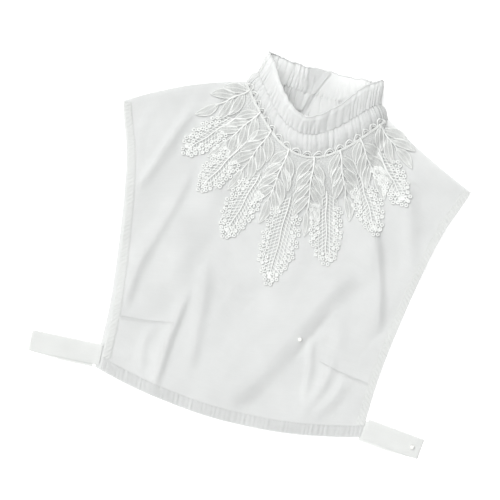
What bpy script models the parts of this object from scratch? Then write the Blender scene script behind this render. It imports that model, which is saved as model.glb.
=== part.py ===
"""A false collar (dickey) laid flat: front and back panels, frilled stand collar, lace yoke and side loops.

Axes: +X to the viewer's right, +Y from the hem towards the collar, +Z up from the surface it lies on.
Sizes are in millimetres and become metres where a mesh is made.
"""

import math
from collections import namedtuple

import bmesh
import bpy
from mathutils import Vector
from mathutils.bvhtree import BVHTree

METRES_PER_MM = 0.001

# Cloth walls and the gaps between them
WALL = 1.0
SEAM_GAP = 0.3
FRONT_REST = WALL + SEAM_GAP
UP = Vector((0.0, 0.0, 1.0))

# Panel outline: half-width at each height, and the ends of the hem and the shoulders
Width = namedtuple("Width", "y half")
PANEL_WIDTHS = (
    Width(-124.0, 136.5),
    Width(-60.0, 139.0),
    Width(0.0, 146.5),
    Width(60.0, 156.5),
    Width(100.0, 166.0),
    Width(130.0, 177.0),
    Width(145.0, 182.0),
)
PANEL_CENTRE_X = -6.0
HEM_CORNER_Y = -124.0
HEM_SAG = 19.0
SHOULDER_TIP_Y = 145.0
SHOULDER_BOW_LEFT = 6.0
SHOULDER_BOW_RIGHT = -2.5
BACK_SHIFT_AT_HEM = -6.0
BACK_SHIFT_AT_SHOULDER = -1.5
BACK_SLIT_BOTTOM_Y = 80.0
BACK_SLIT_HALF_GAP = 0.4

# How the front rises from the back towards the neck
RISE_REACH = 95.0

# Folds of the front: crest as (y, x) from its lower end up, reach to the left and to the right, height
Fold = namedtuple("Fold", "crest left right height")
FRONT_FOLDS = (
    Fold(((65, -152), (87, -144), (119, -133), (153, -121)), 5.0, 7.0, 3.6),
    Fold(((90, -160), (119, -164), (141, -160)), 5.0, 6.0, 1.4),
    Fold(((-52, -135), (-11, -132), (21, -123), (55, -113), (88, -106)), 12.0, 5.5, 3.3),
    Fold(((-28, -90), (12, -99), (53, -103)), 15.0, 20.0, 3.2),
    Fold(((-125, -85), (-79, -83), (-55, -80), (-33, -78)), 8.0, 4.5, 3.7),
    Fold(((-111, -104), (-87, -106), (-69, -101)), 7.0, 5.0, 1.8),
    Fold(((-99, -55), (-61, -58), (-31, -60), (2, -65)), 8.0, 7.0, 2.6),
    Fold(((-121, -5), (-83, 17), (-32, 39), (10, 61), (30, 74)), 38.0, 13.0, 5.6),
    Fold(((-61, 48), (-38, 57), (-13, 69)), 4.5, 5.0, -1.6),
    Fold(((-11, 118), (19, 112), (54, 101), (90, 87)), 19.0, 5.5, 4.3),
    Fold(((57, 136), (94, 126), (135, 110)), 9.0, 9.0, 3.0),
    Fold(((-99, 65), (-72, 63), (-44, 57)), 4.5, 5.0, 2.0),
    Fold(((-110, 70), (-84, 80), (-60, 83)), 6.5, 5.5, 2.5),
    Fold(((-113, 81), (-91, 94), (-70, 101)), 6.0, 8.0, 2.5),
    Fold(((-53, 80), (-35, 84), (-13, 80)), 9.0, 8.0, 1.7),
)
FOLD_FADE = 16.0
CREST_STEP = 4.0

# Side darts of the front: a low ridge from the armhole edge inwards
Dart = namedtuple("Dart", "x0 y0 x1 y1 spread height")
FRONT_DARTS = (
    Dart(-134.0, -66.0, -82.0, -60.0, 4.5, 1.2),
    Dart(124.0, -68.5, 73.0, -62.0, 4.5, 1.2),
)
DART_END_SHARE = 0.12

# Rings of the collar: half-width, then place of the front, the sides and the back. The front leans in x
Ring = namedtuple("Ring", "x lean half y_front y_side y_back bend_front bend_back z_front z_side z_back")
NECK_RING = Ring(1.0, 0.0, 73.0, 138.8, 195.5, 178.0, 2.4, 2.0, 17.0, 2.0, 0.65)
FRILL_RING = Ring(0.5, -5.0, 64.2, 157.9, 206.8, 200.0, 2.7, 2.0, 29.0, 15.0, 1.25)
EDGE_RING = Ring(1.5, -8.0, 59.7, 173.3, 228.0, 226.0, 3.3, 2.0, 48.0, 32.0, 2.3)
RISE_POWER_BACK = 0.7
COLLAR_WALL = 1.0
FLOOR_CLEARANCE = 0.05

# The collar strip is open at the back, where one end lies over the other
STRIP_START_DEG = -106.0
STRIP_END_DEG = {"neck": 262.0, "frill": 266.5, "edge": 276.0}
LIFT_FROM_DEG, LIFT_TO_DEG = 236.0, 250.0
OVERLAP_LIFT = COLLAR_WALL + 0.7

# Gathers of the stand and the frill
GATHERS = 36
SAMPLES_PER_GATHER = 3
STAND_GATHER = 0.45
FRILL_GATHER_SEAM = 0.4
FRILL_GATHER_EDGE = 1.3
BACK_GATHER_SHARE = 0.45
BACK_FLATTENS = 1.4
STAND_PUFF = 1.6
FRILL_FLARE = 2.2
STAND_ROWS = 2
FRILL_ROWS = 3
NORMAL_STEP_ALONG = 0.004
NORMAL_STEP_UP = 0.1

# The tab that closes the stand at the back
TAB_X0, TAB_X1 = -29.0, -7.0
TAB_LEAN = 4.0
TAB_Y0, TAB_Y1 = 181.0, 198.5
TAB_WALL = 0.9
TAB_CLEAR = 0.5
TAB_CELLS = (6, 4)

# Edge bindings and hem facing on the front
BINDING_WIDTH = 8.0
HEM_WIDTH = 12.0
FACING_WIDTH = 11.0
TRIM_INSIDE = 0.4
FACING_TAPER = 0.6
BINDING_END_RISE = 3.6
TRIM_WALL = 0.7
TRIM_CLEAR = 0.45

# Side loops: a tape folded on itself beyond each hem corner
LOOP_WIDTH = 21.0
LOOP_WALL = 0.95
LOOP_FOLD_STEPS = 4
Loop = namedtuple("Loop", "name x0 y0 x1 y1 lower_slip")
LOOPS = (
    Loop("side_loop_left", -145.5, -110.5, -219.0, -114.0, 3.0),
    Loop("side_loop_right", 133.5, -115.0, 193.5, -121.0, -3.0),
)
LOOP_CLEAR_OF_BACK = 6.5

# Pearl buttons
BUTTON_RADIUS = 2.4
BUTTON_HEIGHT = 2.4
BUTTON_CELLS = (16, 4)
FRONT_BUTTON = (46.0, -44.0)
LOOP_BUTTON = (184.0, -121.0)

# Grids of the panels
SHOULDER_COLUMNS = 8
NECK_COLUMNS = 20
PANEL_ROWS = 20
BACK_ROWS = 6

# Lace: polar layout about a point above the neck, angles from straight down
LACE_CENTRE_Y = 240.0
HALVINGS = 30
LACE_CLEAR = 0.4
LACE_WALL = 0.7
YOKE_END_DEG = 57.0
YOKE_END_RADIUS = 116.0
YOKE_CELL_DEG = 3.4
YOKE_CELLS_OUT = 5
TONGUE_GAP = 0.5
BORDER_SCALLOPS = 26
BORDER_WIDTH = 4.6
BORDER_FROM_NECK = 0.6
SCALLOP_DEPTH = 1.8
SCALLOP_SAMPLES = 3

# Flower tongues: direction, radius where they leave the yoke, radius of the tip, half-width
Tongue = namedtuple("Tongue", "name angle root tip half")
TONGUES = (
    Tongue("lace_tongue_1", -41.8, 126.0, 177.0, 15.5),
    Tongue("lace_tongue_2", -29.3, 138.0, 189.0, 15.5),
    Tongue("lace_tongue_3", -15.2, 150.0, 212.0, 18.0),
    Tongue("lace_tongue_4", 0.0, 160.0, 240.0, 19.5),
    Tongue("lace_tongue_5", 14.4, 150.0, 212.0, 18.0),
    Tongue("lace_tongue_6", 30.2, 137.0, 189.0, 15.5),
    Tongue("lace_tongue_7", 42.8, 123.0, 172.0, 15.5),
)
FLOWER_SPACING = 11.5
FLOWER_LOBE = 2.6
FLOWER_DOME = 1.5
ROOT_WIDTH = 0.78
FLOWER_ROWS_ACROSS = 0.55
FEWEST_FLOWERS = 3
DOMES_FROM = 0.32
STEM_DOME = 1.3
STEM_HALF = 1.1
STEM_NOTCH = 0.15

# Leaf sprays raised on the yoke: direction and radius of the tip leaf
Spray = namedtuple("Spray", "name angle tip")
SPRAYS = (
    Spray("leaf_spray_1", -52.0, 146.0),
    Spray("leaf_spray_2", -35.5, 158.0),
    Spray("leaf_spray_3", -22.3, 168.0),
    Spray("leaf_spray_4", -7.7, 182.0),
    Spray("leaf_spray_5", 7.3, 183.0),
    Spray("leaf_spray_6", 22.3, 168.0),
    Spray("leaf_spray_7", 36.5, 156.0),
    Spray("leaf_spray_8", 52.0, 142.0),
)
SPRAY_FROM_BORDER = 1.5
SPRAY_CLEAR = 0.4
LEAF_LENGTH = 24.0
LEAF_HALF = 3.5
LEAF_SPACING = 15.5
LEAF_SPLAY_DEG = 29.0
LEAF_STAGGER = 3.5
LEAF_TOP_GAP = 9.0
FIRST_LEAF = 1.5
LEAF_PAST_TIP = 2.0
LEAF_STATIONS = ((0.36, 1.0), (0.72, 0.78))

# Laying one piece on another: each face is tried at evenly spaced points, a few times over
SETTLE_PASSES = 2
SETTLE_STEPS = 5
SETTLE_SAMPLES = [
    (i / SETTLE_STEPS, j / SETTLE_STEPS, (SETTLE_STEPS - i - j) / SETTLE_STEPS)
    for i in range(SETTLE_STEPS + 1)
    for j in range(SETTLE_STEPS + 1 - i)
]
ABOVE_ALL = 200.0


def smooth(share):
    """An S-shaped step from 0 to 1."""
    share = min(max(share, 0.0), 1.0)
    return share * share * (3.0 - 2.0 * share)


def smooth_through(rows, at):
    """The value at this place on a smooth curve through rows of (place, value)."""
    at = min(max(at, rows[0][0]), rows[-1][0])
    k = max(i for i in range(len(rows) - 1) if rows[i][0] <= at)
    before, low, high, after = rows[max(k - 1, 0)], rows[k], rows[k + 1], rows[min(k + 2, len(rows) - 1)]
    span = high[0] - low[0]
    share = (at - low[0]) / span
    slope_low = (high[1] - before[1]) / (high[0] - before[0]) * span
    slope_high = (after[1] - low[1]) / (after[0] - low[0]) * span
    cube, square = share**3, share**2
    ends = (2 * cube - 3 * square + 1) * low[1] + (3 * square - 2 * cube) * high[1]
    return ends + (cube - 2 * square + share) * slope_low + (cube - square) * slope_high


def half_width(y):
    """The panel's half-width at this height, on a smooth curve through PANEL_WIDTHS."""
    return smooth_through(PANEL_WIDTHS, y)


def ring_point(ring, degrees):
    """A point of a collar ring: 0 is the right side, 90 the front, 180 the left side, 270 the back."""
    angle = math.radians(degrees)
    front, back = max(math.sin(angle), 0.0), max(-math.sin(angle), 0.0)
    y = ring.y_side + (ring.y_front - ring.y_side) * front**ring.bend_front
    y += (ring.y_back - ring.y_side) * back**ring.bend_back
    z = ring.z_side + (ring.z_front - ring.z_side) * front
    z += (ring.z_back - ring.z_side) * back**RISE_POWER_BACK
    return Vector((ring.x + ring.lean * front + ring.half * math.cos(angle), y, z))


def crease_height(x, y, fold):
    """A soft ridge, or a trough, that fades past both ends and to each side of its crest."""
    low, high = fold.crest[0][0], fold.crest[-1][0]
    inside = smooth((y - low + FOLD_FADE) / (2.0 * FOLD_FADE))
    inside *= smooth((high + FOLD_FADE - y) / (2.0 * FOLD_FADE))
    if inside == 0.0:
        return 0.0
    middle = smooth_through(fold.crest, y)
    slant = smooth_through(fold.crest, y + CREST_STEP) - smooth_through(fold.crest, y - CREST_STEP)
    distance = (x - middle) / math.hypot(1.0, slant / (2.0 * CREST_STEP))
    reach = fold.left if distance < 0.0 else fold.right
    return fold.height * inside * math.exp(-((distance / reach) ** 2))


def dart_height(x, y, dart):
    """The low ridge of a pressed dart, which fades at both ends and to each side."""
    along = Vector((dart.x1 - dart.x0, dart.y1 - dart.y0))
    offset = Vector((x - dart.x0, y - dart.y0))
    share = min(max(offset.dot(along) / along.length_squared, 0.0), 1.0)
    distance = (offset - along * share).length
    crest = math.sin(math.pi * (DART_END_SHARE + (1.0 - 2.0 * DART_END_SHARE) * share))
    return dart.height * crest * math.exp(-((distance / dart.spread) ** 2))


def fold_height(x, y):
    """The front's height above its rest, which never dips into the back panel."""
    folds = sum(crease_height(x, y, fold) for fold in FRONT_FOLDS)
    return max(folds, 0.0) + sum(dart_height(x, y, dart) for dart in FRONT_DARTS)


# Mesh helpers
def material_for(name, colour, roughness):
    material = bpy.data.materials.get(name)
    if material is None:
        material = bpy.data.materials.new(name)
        material.use_nodes = True
        shader = material.node_tree.nodes["Principled BSDF"]
        shader.inputs["Base Color"].default_value = (*colour, 1.0)
        shader.inputs["Roughness"].default_value = roughness
        shader.inputs["Metallic"].default_value = 0.0
    return material


VOILE = ("white_voile", (0.80, 0.81, 0.80), 0.85)
BIAS_TAPE = ("white_bias_tape", (0.86, 0.86, 0.85), 0.8)
GUIPURE = ("white_guipure", (0.87, 0.88, 0.87), 0.75)
PEARL = ("pearl_plastic", (0.90, 0.90, 0.88), 0.25)


def add_object(name, points, faces, finish):
    """Makes one object from points in millimetres, with its faces pointing out."""
    mesh = bpy.data.meshes.new(name)
    mesh.from_pydata([Vector(p) * METRES_PER_MM for p in points], [], faces)
    shape = bmesh.new()
    shape.from_mesh(mesh)
    bmesh.ops.recalc_face_normals(shape, faces=shape.faces)
    shape.to_mesh(mesh)
    shape.free()
    mesh.materials.append(material_for(*finish))
    obj = bpy.data.objects.new(name, mesh)
    bpy.context.scene.collection.objects.link(obj)
    return obj


def never_open(column, row):
    return False


def wall_from_grids(name, lower, upper, finish, is_open=never_open):
    """A closed wall between two grids of points, [column][row]. Where is_open(column, row), a slit parts it."""
    points, index, faces = [], {}, []
    columns, rows = len(lower), len(lower[0])

    def vertex(layer, column, row, side):
        parted = is_open(column, row)
        key = (layer, column, row, side if parted else 0)
        if key not in index:
            grid = upper if layer else lower
            point = Vector(grid[column][row])
            if parted:
                point.x += side * BACK_SLIT_HALF_GAP
            index[key] = len(points)
            points.append(point)
        return index[key]

    edges = {}
    for c in range(columns - 1):
        for r in range(rows - 1):
            corners = ((c, r, 1), (c + 1, r, -1), (c + 1, r + 1, -1), (c, r + 1, 1))
            top = [vertex(1, *corner) for corner in corners]
            bottom = [vertex(0, *corner) for corner in corners]
            for a, b, d in ((0, 1, 2), (0, 2, 3)):
                faces.append((top[a], top[b], top[d]))
                faces.append((bottom[d], bottom[b], bottom[a]))
            for k in range(4):
                a, b = k, (k + 1) % 4
                key = frozenset((top[a], top[b]))
                if key in edges:
                    edges[key] = None
                else:
                    edges[key] = (bottom[a], bottom[b], top[b], top[a])
    faces.extend(rim for rim in edges.values() if rim)
    return add_object(name, points, faces, finish)


def tree_of(*objects):
    """The objects' surfaces in millimetres, for laying pieces on them."""
    points, faces = [], []
    for obj in objects:
        first = len(points)
        points += [v.co / METRES_PER_MM for v in obj.data.vertices]
        faces += [tuple(first + k for k in p.vertices) for p in obj.data.polygons]
    return BVHTree.FromPolygons(points, faces)


def surface_z(tree, x, y, missing=0.0):
    """Height of the first surface met from above."""
    hit = tree.ray_cast(Vector((x, y, ABOVE_ALL)), -UP)[0]
    return hit.z if hit is not None else missing


def settle(points, faces, tree, clear):
    """Heights for plan points, so that the faces between them stay this far above what they lie on."""
    heights = [surface_z(tree, x, y) + clear for x, y in points]
    for _ in range(SETTLE_PASSES):
        for face in faces:
            for shares in SETTLE_SAMPLES:
                x, y = (sum(points[i][axis] * w for i, w in zip(face, shares)) for axis in (0, 1))
                z = sum(heights[i] * w for i, w in zip(face, shares))
                short = surface_z(tree, x, y, z - clear) + clear - z
                if short > 0.0:
                    for i in face:
                        heights[i] += short
    return heights


def settled_grid(plan, tree, clear):
    """Heights [column][row] for a grid of plan points laid on a surface."""
    columns, rows = len(plan), len(plan[0])
    points = [(p[0], p[1]) for column in plan for p in column]
    faces = []
    for c in range(columns - 1):
        for r in range(rows - 1):
            a, b = c * rows + r, (c + 1) * rows + r
            faces += [(a, b, b + 1), (a, b + 1, a + 1), (a, b, a + 1), (b, b + 1, a + 1)]
    heights = settle(points, faces, tree, clear)
    return [heights[c * rows : (c + 1) * rows] for c in range(columns)]


def laid_wall(name, tree, columns, finish, clear):
    """A wall over plan points (x, y, thickness), laid this far above what it lies on."""
    lower, upper = [], []
    for column, heights in zip(columns, settled_grid(columns, tree, clear)):
        lower.append([(x, y, z) for (x, y, _), z in zip(column, heights)])
        upper.append([(x, y, z + wall) for (x, y, wall), z in zip(column, heights)])
    return wall_from_grids(name, lower, upper, finish)


# Front and back panels
def panel_top_points(shift, ring_from_deg, ring_to_deg, inset):
    """The upper outline from the left shoulder tip, round the neckline, to the right shoulder tip."""
    left_tip = Vector((PANEL_CENTRE_X + shift - half_width(SHOULDER_TIP_Y), SHOULDER_TIP_Y, 0.0))
    right_tip = Vector((PANEL_CENTRE_X + shift + half_width(SHOULDER_TIP_Y), SHOULDER_TIP_Y, 0.0))
    centre = Vector((NECK_RING.x, NECK_RING.y_side, 0.0))
    neckline = []
    for k in range(NECK_COLUMNS + 1):
        degrees = ring_from_deg + (ring_to_deg - ring_from_deg) * k / NECK_COLUMNS
        point = ring_point(NECK_RING, degrees)
        step = (point - centre).xy.normalized() * inset
        if point.y < NECK_RING.y_side - 1.0:
            step = Vector((step.x, -inset))
        neckline.append(Vector((point.x + step.x, point.y + step.y, point.z)))

    def shoulder_point(start, end, share, bow):
        return start.lerp(end, share) + Vector((0.0, 4.0 * bow * share * (1.0 - share), 0.0))

    steps = [k / SHOULDER_COLUMNS for k in range(1, SHOULDER_COLUMNS + 1)]
    left = [shoulder_point(left_tip, neckline[0], share - steps[0], SHOULDER_BOW_LEFT) for share in steps]
    right = [shoulder_point(neckline[-1], right_tip, share, SHOULDER_BOW_RIGHT) for share in steps]
    return left + neckline + right


def panel_plan(shift_hem, shift_shoulder, top, rows):
    """Plan points [column][row] of a panel, blended from its four edges."""
    columns = len(top)

    def side(sign, v):
        y = HEM_CORNER_Y + (SHOULDER_TIP_Y - HEM_CORNER_Y) * v
        shift = shift_hem + (shift_shoulder - shift_hem) * v
        return Vector((PANEL_CENTRE_X + shift + sign * half_width(y), y))

    def hem(u):
        x0, x1 = side(-1, 0.0).x, side(1, 0.0).x
        return Vector((x0 + (x1 - x0) * u, HEM_CORNER_Y - HEM_SAG * (1.0 - (2.0 * u - 1.0) ** 2)))

    grid = []
    for c in range(columns):
        u = c / (columns - 1)
        column = []
        for r in range(rows + 1):
            v = r / rows
            upper = top[c].xy
            point = hem(u) * (1 - v) + upper * v + side(-1, v) * (1 - u) + side(1, v) * u
            point -= side(-1, 0.0) * (1 - u) * (1 - v) + side(1, 0.0) * u * (1 - v)
            point -= top[0].xy * (1 - u) * v + top[-1].xy * u * v
            column.append(point)
        grid.append(column)
    return grid


def front_rise(z_top, from_top):
    """How far the front stands above its resting height, by its distance from the upper edge."""
    share = min(from_top / RISE_REACH, 1.0)
    return max(z_top - FRONT_REST - WALL / 2, 0.0) * (1.0 + math.cos(math.pi * share)) / 2.0


def make_front_panel():
    top = panel_top_points(0.0, 180.0, 0.0, SEAM_GAP + COLLAR_WALL)
    plan = panel_plan(0.0, 0.0, top, PANEL_ROWS)
    lower, upper = [], []
    for c, column in enumerate(plan):
        low_column, high_column = [], []
        for point in column:
            rise = front_rise(top[c].z, (point - top[c].xy).length)
            z = FRONT_REST + rise + fold_height(point.x, point.y)
            low_column.append((point.x, point.y, z))
            high_column.append((point.x, point.y, z + WALL))
        lower.append(low_column)
        upper.append(high_column)
    return wall_from_grids("front_panel", lower, upper, VOILE), plan


def make_back_panel():
    top = panel_top_points(BACK_SHIFT_AT_SHOULDER, 180.0, 360.0, SEAM_GAP + COLLAR_WALL)
    plan = panel_plan(BACK_SHIFT_AT_HEM, BACK_SHIFT_AT_SHOULDER, top, BACK_ROWS)
    lower = [[(p.x, p.y, 0.0) for p in column] for column in plan]
    upper = [[(p.x, p.y, WALL) for p in column] for column in plan]
    middle = SHOULDER_COLUMNS + NECK_COLUMNS // 2

    def is_slit(column, row):
        return column == middle and plan[column][row].y > BACK_SLIT_BOTTOM_Y

    return wall_from_grids("back_panel", lower, upper, VOILE, is_slit)


# Stand collar and frill
def lift_at(degrees):
    return OVERLAP_LIFT * smooth((degrees - LIFT_FROM_DEG) / (LIFT_TO_DEG - LIFT_FROM_DEG))


def back_share(degrees):
    """0 over the front and sides, 1 at the centre back, where the collar lies on the floor."""
    return smooth(-BACK_FLATTENS * math.sin(math.radians(degrees)))


def seam_normal(degrees):
    """One direction for both strips where the frill is sewn on, so that their walls don't cross there."""
    along = ring_point(FRILL_RING, degrees + 1.0) - ring_point(FRILL_RING, degrees - 1.0)
    up = ring_point(EDGE_RING, degrees) - ring_point(NECK_RING, degrees)
    return along.cross(up).normalized()


def collar_wall(name, ring_low, ring_high, end_low, end_high, rows, amplitude_low, amplitude_high, puff, flare):
    """A strip of the collar between two rings, gathered, with one end lifted over the other."""
    steps = int(GATHERS * SAMPLES_PER_GATHER * (STRIP_END_DEG["frill"] - STRIP_START_DEG) / 360.0)

    def middle(share, v):
        degrees = STRIP_START_DEG + (end_low + (end_high - end_low) * v - STRIP_START_DEG) * share
        low, high = ring_point(ring_low, degrees), ring_point(ring_high, degrees)
        return degrees, low.lerp(high, v)

    def normal(share, v):
        _, a = middle(share - NORMAL_STEP_ALONG, v)
        _, b = middle(share + NORMAL_STEP_ALONG, v)
        _, c = middle(share, max(v - NORMAL_STEP_UP, 0.0))
        _, d = middle(share, min(v + NORMAL_STEP_UP, 1.0))
        return (b - a).cross(d - c).normalized()

    outward = 1.0 if normal(0.5, 0.5).y < 0.0 else -1.0
    lower, upper = [], []
    for k in range(steps + 1):
        low_column, high_column = [], []
        for r in range(rows + 1):
            v = r / rows
            share = k / steps
            degrees, point = middle(share, v)
            at_seam = (r == rows) if ring_high == FRILL_RING else (r == 0)
            out = (seam_normal(degrees) if at_seam else normal(share, v)) * outward
            amplitude = amplitude_low + (amplitude_high - amplitude_low) * v
            amplitude *= 1.0 - (1.0 - BACK_GATHER_SHARE) * back_share(degrees)
            wave = amplitude * math.cos(math.radians(GATHERS * degrees))
            swell = puff * math.sin(math.pi * v) + flare * v * v
            swell *= 1.0 - back_share(degrees)
            point = point + out * (wave + swell) + UP * lift_at(degrees)
            outer = point + out * (COLLAR_WALL / 2)
            inner = point - out * (COLLAR_WALL / 2)
            floor = FLOOR_CLEARANCE + lift_at(degrees)
            raise_by = max(floor - min(outer.z, inner.z), 0.0)
            low_column.append(outer + UP * raise_by)
            high_column.append(inner + UP * raise_by)
        lower.append(low_column)
        upper.append(high_column)
    return wall_from_grids(name, lower, upper, VOILE)


def shifted_ring(ring, towards, share):
    """A ring a little way from one ring towards another, so that two strips keep a seam gap."""
    values = [a + (b - a) * share for a, b in zip(ring, towards)]
    return Ring(*values)


def make_collar():
    seam = (SEAM_GAP + 0.1) / (EDGE_RING.y_back - FRILL_RING.y_back)
    frill_base = shifted_ring(FRILL_RING, EDGE_RING, seam)
    collar_wall(
        "neck_stand", NECK_RING, FRILL_RING, STRIP_END_DEG["neck"], STRIP_END_DEG["frill"],
        STAND_ROWS, STAND_GATHER, FRILL_GATHER_SEAM, STAND_PUFF, 0.0,
    )
    collar_wall(
        "neck_frill", frill_base, EDGE_RING, STRIP_END_DEG["frill"], STRIP_END_DEG["edge"],
        FRILL_ROWS, FRILL_GATHER_SEAM, FRILL_GATHER_EDGE, 0.0, FRILL_FLARE,
    )


def make_closing_tab():
    tree = tree_of(bpy.data.objects["neck_stand"])
    lower, upper = [], []
    across, along = TAB_CELLS
    for c in range(across + 1):
        low_column, high_column = [], []
        for r in range(along + 1):
            lean = TAB_LEAN * (r / along - 1.0)
            x = TAB_X0 + (TAB_X1 - TAB_X0) * c / across + lean
            y = TAB_Y0 + (TAB_Y1 - TAB_Y0) * r / along
            z = surface_z(tree, x, y, COLLAR_WALL + OVERLAP_LIFT) + TAB_CLEAR
            low_column.append((x, y, z))
            high_column.append((x, y, z + TAB_WALL))
        lower.append(low_column)
        upper.append(high_column)
    wall_from_grids("closing_tab", lower, upper, BIAS_TAPE)


# Bindings, hem facing, loops and buttons
def trim_on_front(name, tree, outer, inner, finish):
    """A flat trim on the front between two runs of plan points."""
    columns = [[(a.x, a.y, TRIM_WALL), (b.x, b.y, TRIM_WALL)] for a, b in zip(outer, inner)]
    laid_wall(name, tree, columns, finish, TRIM_CLEAR)


def make_bindings(plan, tree):
    sides = (("armhole_binding_left", plan[0], 1.0), ("armhole_binding_right", plan[-1], -1.0))
    for name, column, sign in sides:
        run = [p for p in column if p.y > HEM_CORNER_Y + HEM_WIDTH]
        outer = [Vector((p.x + sign * TRIM_INSIDE, p.y - TRIM_INSIDE)) for p in run]
        inner = [Vector((p.x + sign * BINDING_WIDTH, p.y - TRIM_INSIDE)) for p in run]
        inner[-1].y += BINDING_END_RISE
        trim_on_front(name, tree, outer, inner, BIAS_TAPE)
    hem = [column[0] for column in plan]
    outer = [Vector((p.x, p.y + TRIM_INSIDE)) for p in hem]
    inner = [Vector((p.x, p.y + FACING_WIDTH)) for p in hem]
    for end, sign in ((0, 1.0), (-1, -1.0)):
        outer[end].x += sign * TRIM_INSIDE
        inner[end].x += sign * (TRIM_INSIDE + FACING_TAPER)
    trim_on_front("hem_facing", tree, outer, inner, VOILE)


def make_side_loop(loop):
    """A tape folded on itself: the lower layer meets the back panel, the upper one the front."""
    start, end = Vector((loop.x0, loop.y0)), Vector((loop.x1, loop.y1))
    along = (end - start).normalized()
    across = Vector((-along.y, along.x))
    length = (end - start).length
    lower_start = LOOP_CLEAR_OF_BACK if loop.x1 < loop.x0 else -LOOP_CLEAR_OF_BACK / 2
    bend = FRONT_REST / 2
    reach = length - bend - WALL / 2
    path = [(0.0, FRONT_REST + WALL / 2, 0.0), (reach / 2, FRONT_REST + WALL / 2, 0.0)]
    for k in range(LOOP_FOLD_STEPS + 1):
        angle = math.pi * k / LOOP_FOLD_STEPS
        path.append((reach + bend * math.sin(angle), WALL / 2 + bend + bend * math.cos(angle), 0.0))
    path.append((reach / 2, WALL / 2, loop.lower_slip * 0.5))
    path.append((lower_start, WALL / 2, loop.lower_slip))
    lower, upper = [], []
    for k, (distance, z, slip) in enumerate(path):
        before, after = path[max(k - 1, 0)], path[min(k + 1, len(path) - 1)]
        tangent = Vector((after[0] - before[0], after[1] - before[1])).normalized()
        normal = Vector((-tangent.y, tangent.x)) * LOOP_WALL / 2
        low_column, high_column = [], []
        for side in (-0.5, 0.5):
            plan = start + along * distance + across * (side * LOOP_WIDTH + slip)
            for column, sign in ((low_column, -1.0), (high_column, 1.0)):
                at = plan + along * normal.x * sign
                column.append((at.x, at.y, z + normal.y * sign))
        lower.append(low_column)
        upper.append(high_column)
    return wall_from_grids(loop.name, lower, upper, BIAS_TAPE)


def highest_under_button(tree, place):
    """The highest point of a surface within a button's rim."""
    sides = BUTTON_CELLS[0]
    found = [surface_z(tree, *place)]
    for share in (0.5, 1.0):
        for s in range(sides):
            turn = 2.0 * math.pi * s / sides
            x, y = place[0] + BUTTON_RADIUS * share * math.cos(turn), place[1] + BUTTON_RADIUS * share * math.sin(turn)
            found.append(surface_z(tree, x, y))
    return max(found)


def make_button(name, place, seat_z):
    """A small domed pearl button, turned from a few circles."""
    sides, rows = BUTTON_CELLS
    points, faces = [], []
    for r in range(rows):
        tilt = math.pi / 2 * r / rows
        radius = BUTTON_RADIUS * math.cos(tilt)
        z = seat_z + BUTTON_HEIGHT * math.sin(tilt)
        for s in range(sides):
            turn = 2.0 * math.pi * s / sides
            points.append((place[0] + radius * math.cos(turn), place[1] + radius * math.sin(turn), z))
    crown = len(points)
    points.append((place[0], place[1], seat_z + BUTTON_HEIGHT))
    faces.append(list(range(sides))[::-1])
    for r in range(rows - 1):
        for s in range(sides):
            n = (s + 1) % sides
            faces.append((r * sides + s, r * sides + n, (r + 1) * sides + n, (r + 1) * sides + s))
    last = (rows - 1) * sides
    faces.extend((last + s, last + (s + 1) % sides, crown) for s in range(sides))
    add_object(name, points, faces, PEARL)


# Lace
def lace_point(degrees, radius):
    angle = math.radians(degrees)
    return Vector((radius * math.sin(angle), LACE_CENTRE_Y - radius * math.cos(angle)))


def lace_axes(degrees):
    """Unit vectors outwards from the lace's centre and to the side of larger angles."""
    forward = lace_point(degrees, 1.0) - lace_point(degrees, 0.0)
    return forward, Vector((-forward.y, forward.x))


def neck_radius(degrees):
    """Radius of the neckline in the lace's polar layout, found by halving."""
    low, high = 180.0, 0.0
    for _ in range(HALVINGS):
        middle = (low + high) / 2
        p = ring_point(NECK_RING, middle)
        if math.degrees(math.atan2(p.x, LACE_CENTRE_Y - p.y)) < degrees:
            low = middle
        else:
            high = middle
    p = ring_point(NECK_RING, (low + high) / 2)
    return math.hypot(p.x, LACE_CENTRE_Y - p.y) + SEAM_GAP + COLLAR_WALL


def yoke_knots():
    knots = [(-YOKE_END_DEG, YOKE_END_RADIUS)]
    knots += [(t.angle, t.root) for t in TONGUES]
    knots += [(YOKE_END_DEG, YOKE_END_RADIUS)]
    return knots


def yoke_radius(degrees):
    """Outer radius of the lace ground, which steps down from the middle to the shoulders."""
    knots = yoke_knots()
    k = max(i for i in range(len(knots) - 1) if knots[i][0] <= degrees)
    share = (degrees - knots[k][0]) / (knots[k + 1][0] - knots[k][0])
    return knots[k][1] + (knots[k + 1][1] - knots[k][1]) * share


def yoke_angles():
    """Angles of the yoke's columns: each tongue's own, and even steps between them."""
    angles = [-YOKE_END_DEG]
    for (low, _), (high, _) in zip(yoke_knots(), yoke_knots()[1:]):
        steps = math.ceil((high - low) / YOKE_CELL_DEG)
        angles += [low + (high - low) * k / steps for k in range(1, steps + 1)]
    return angles


def make_lace_yoke(tree):
    columns = []
    for degrees in yoke_angles():
        inner = neck_radius(degrees) + BORDER_FROM_NECK + BORDER_WIDTH + SEAM_GAP
        span = yoke_radius(degrees) - inner
        points = [lace_point(degrees, inner + span * r / YOKE_CELLS_OUT) for r in range(YOKE_CELLS_OUT + 1)]
        columns.append([(p.x, p.y, LACE_WALL) for p in points])
    return laid_wall("lace_yoke", tree, columns, GUIPURE, LACE_CLEAR)


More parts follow.
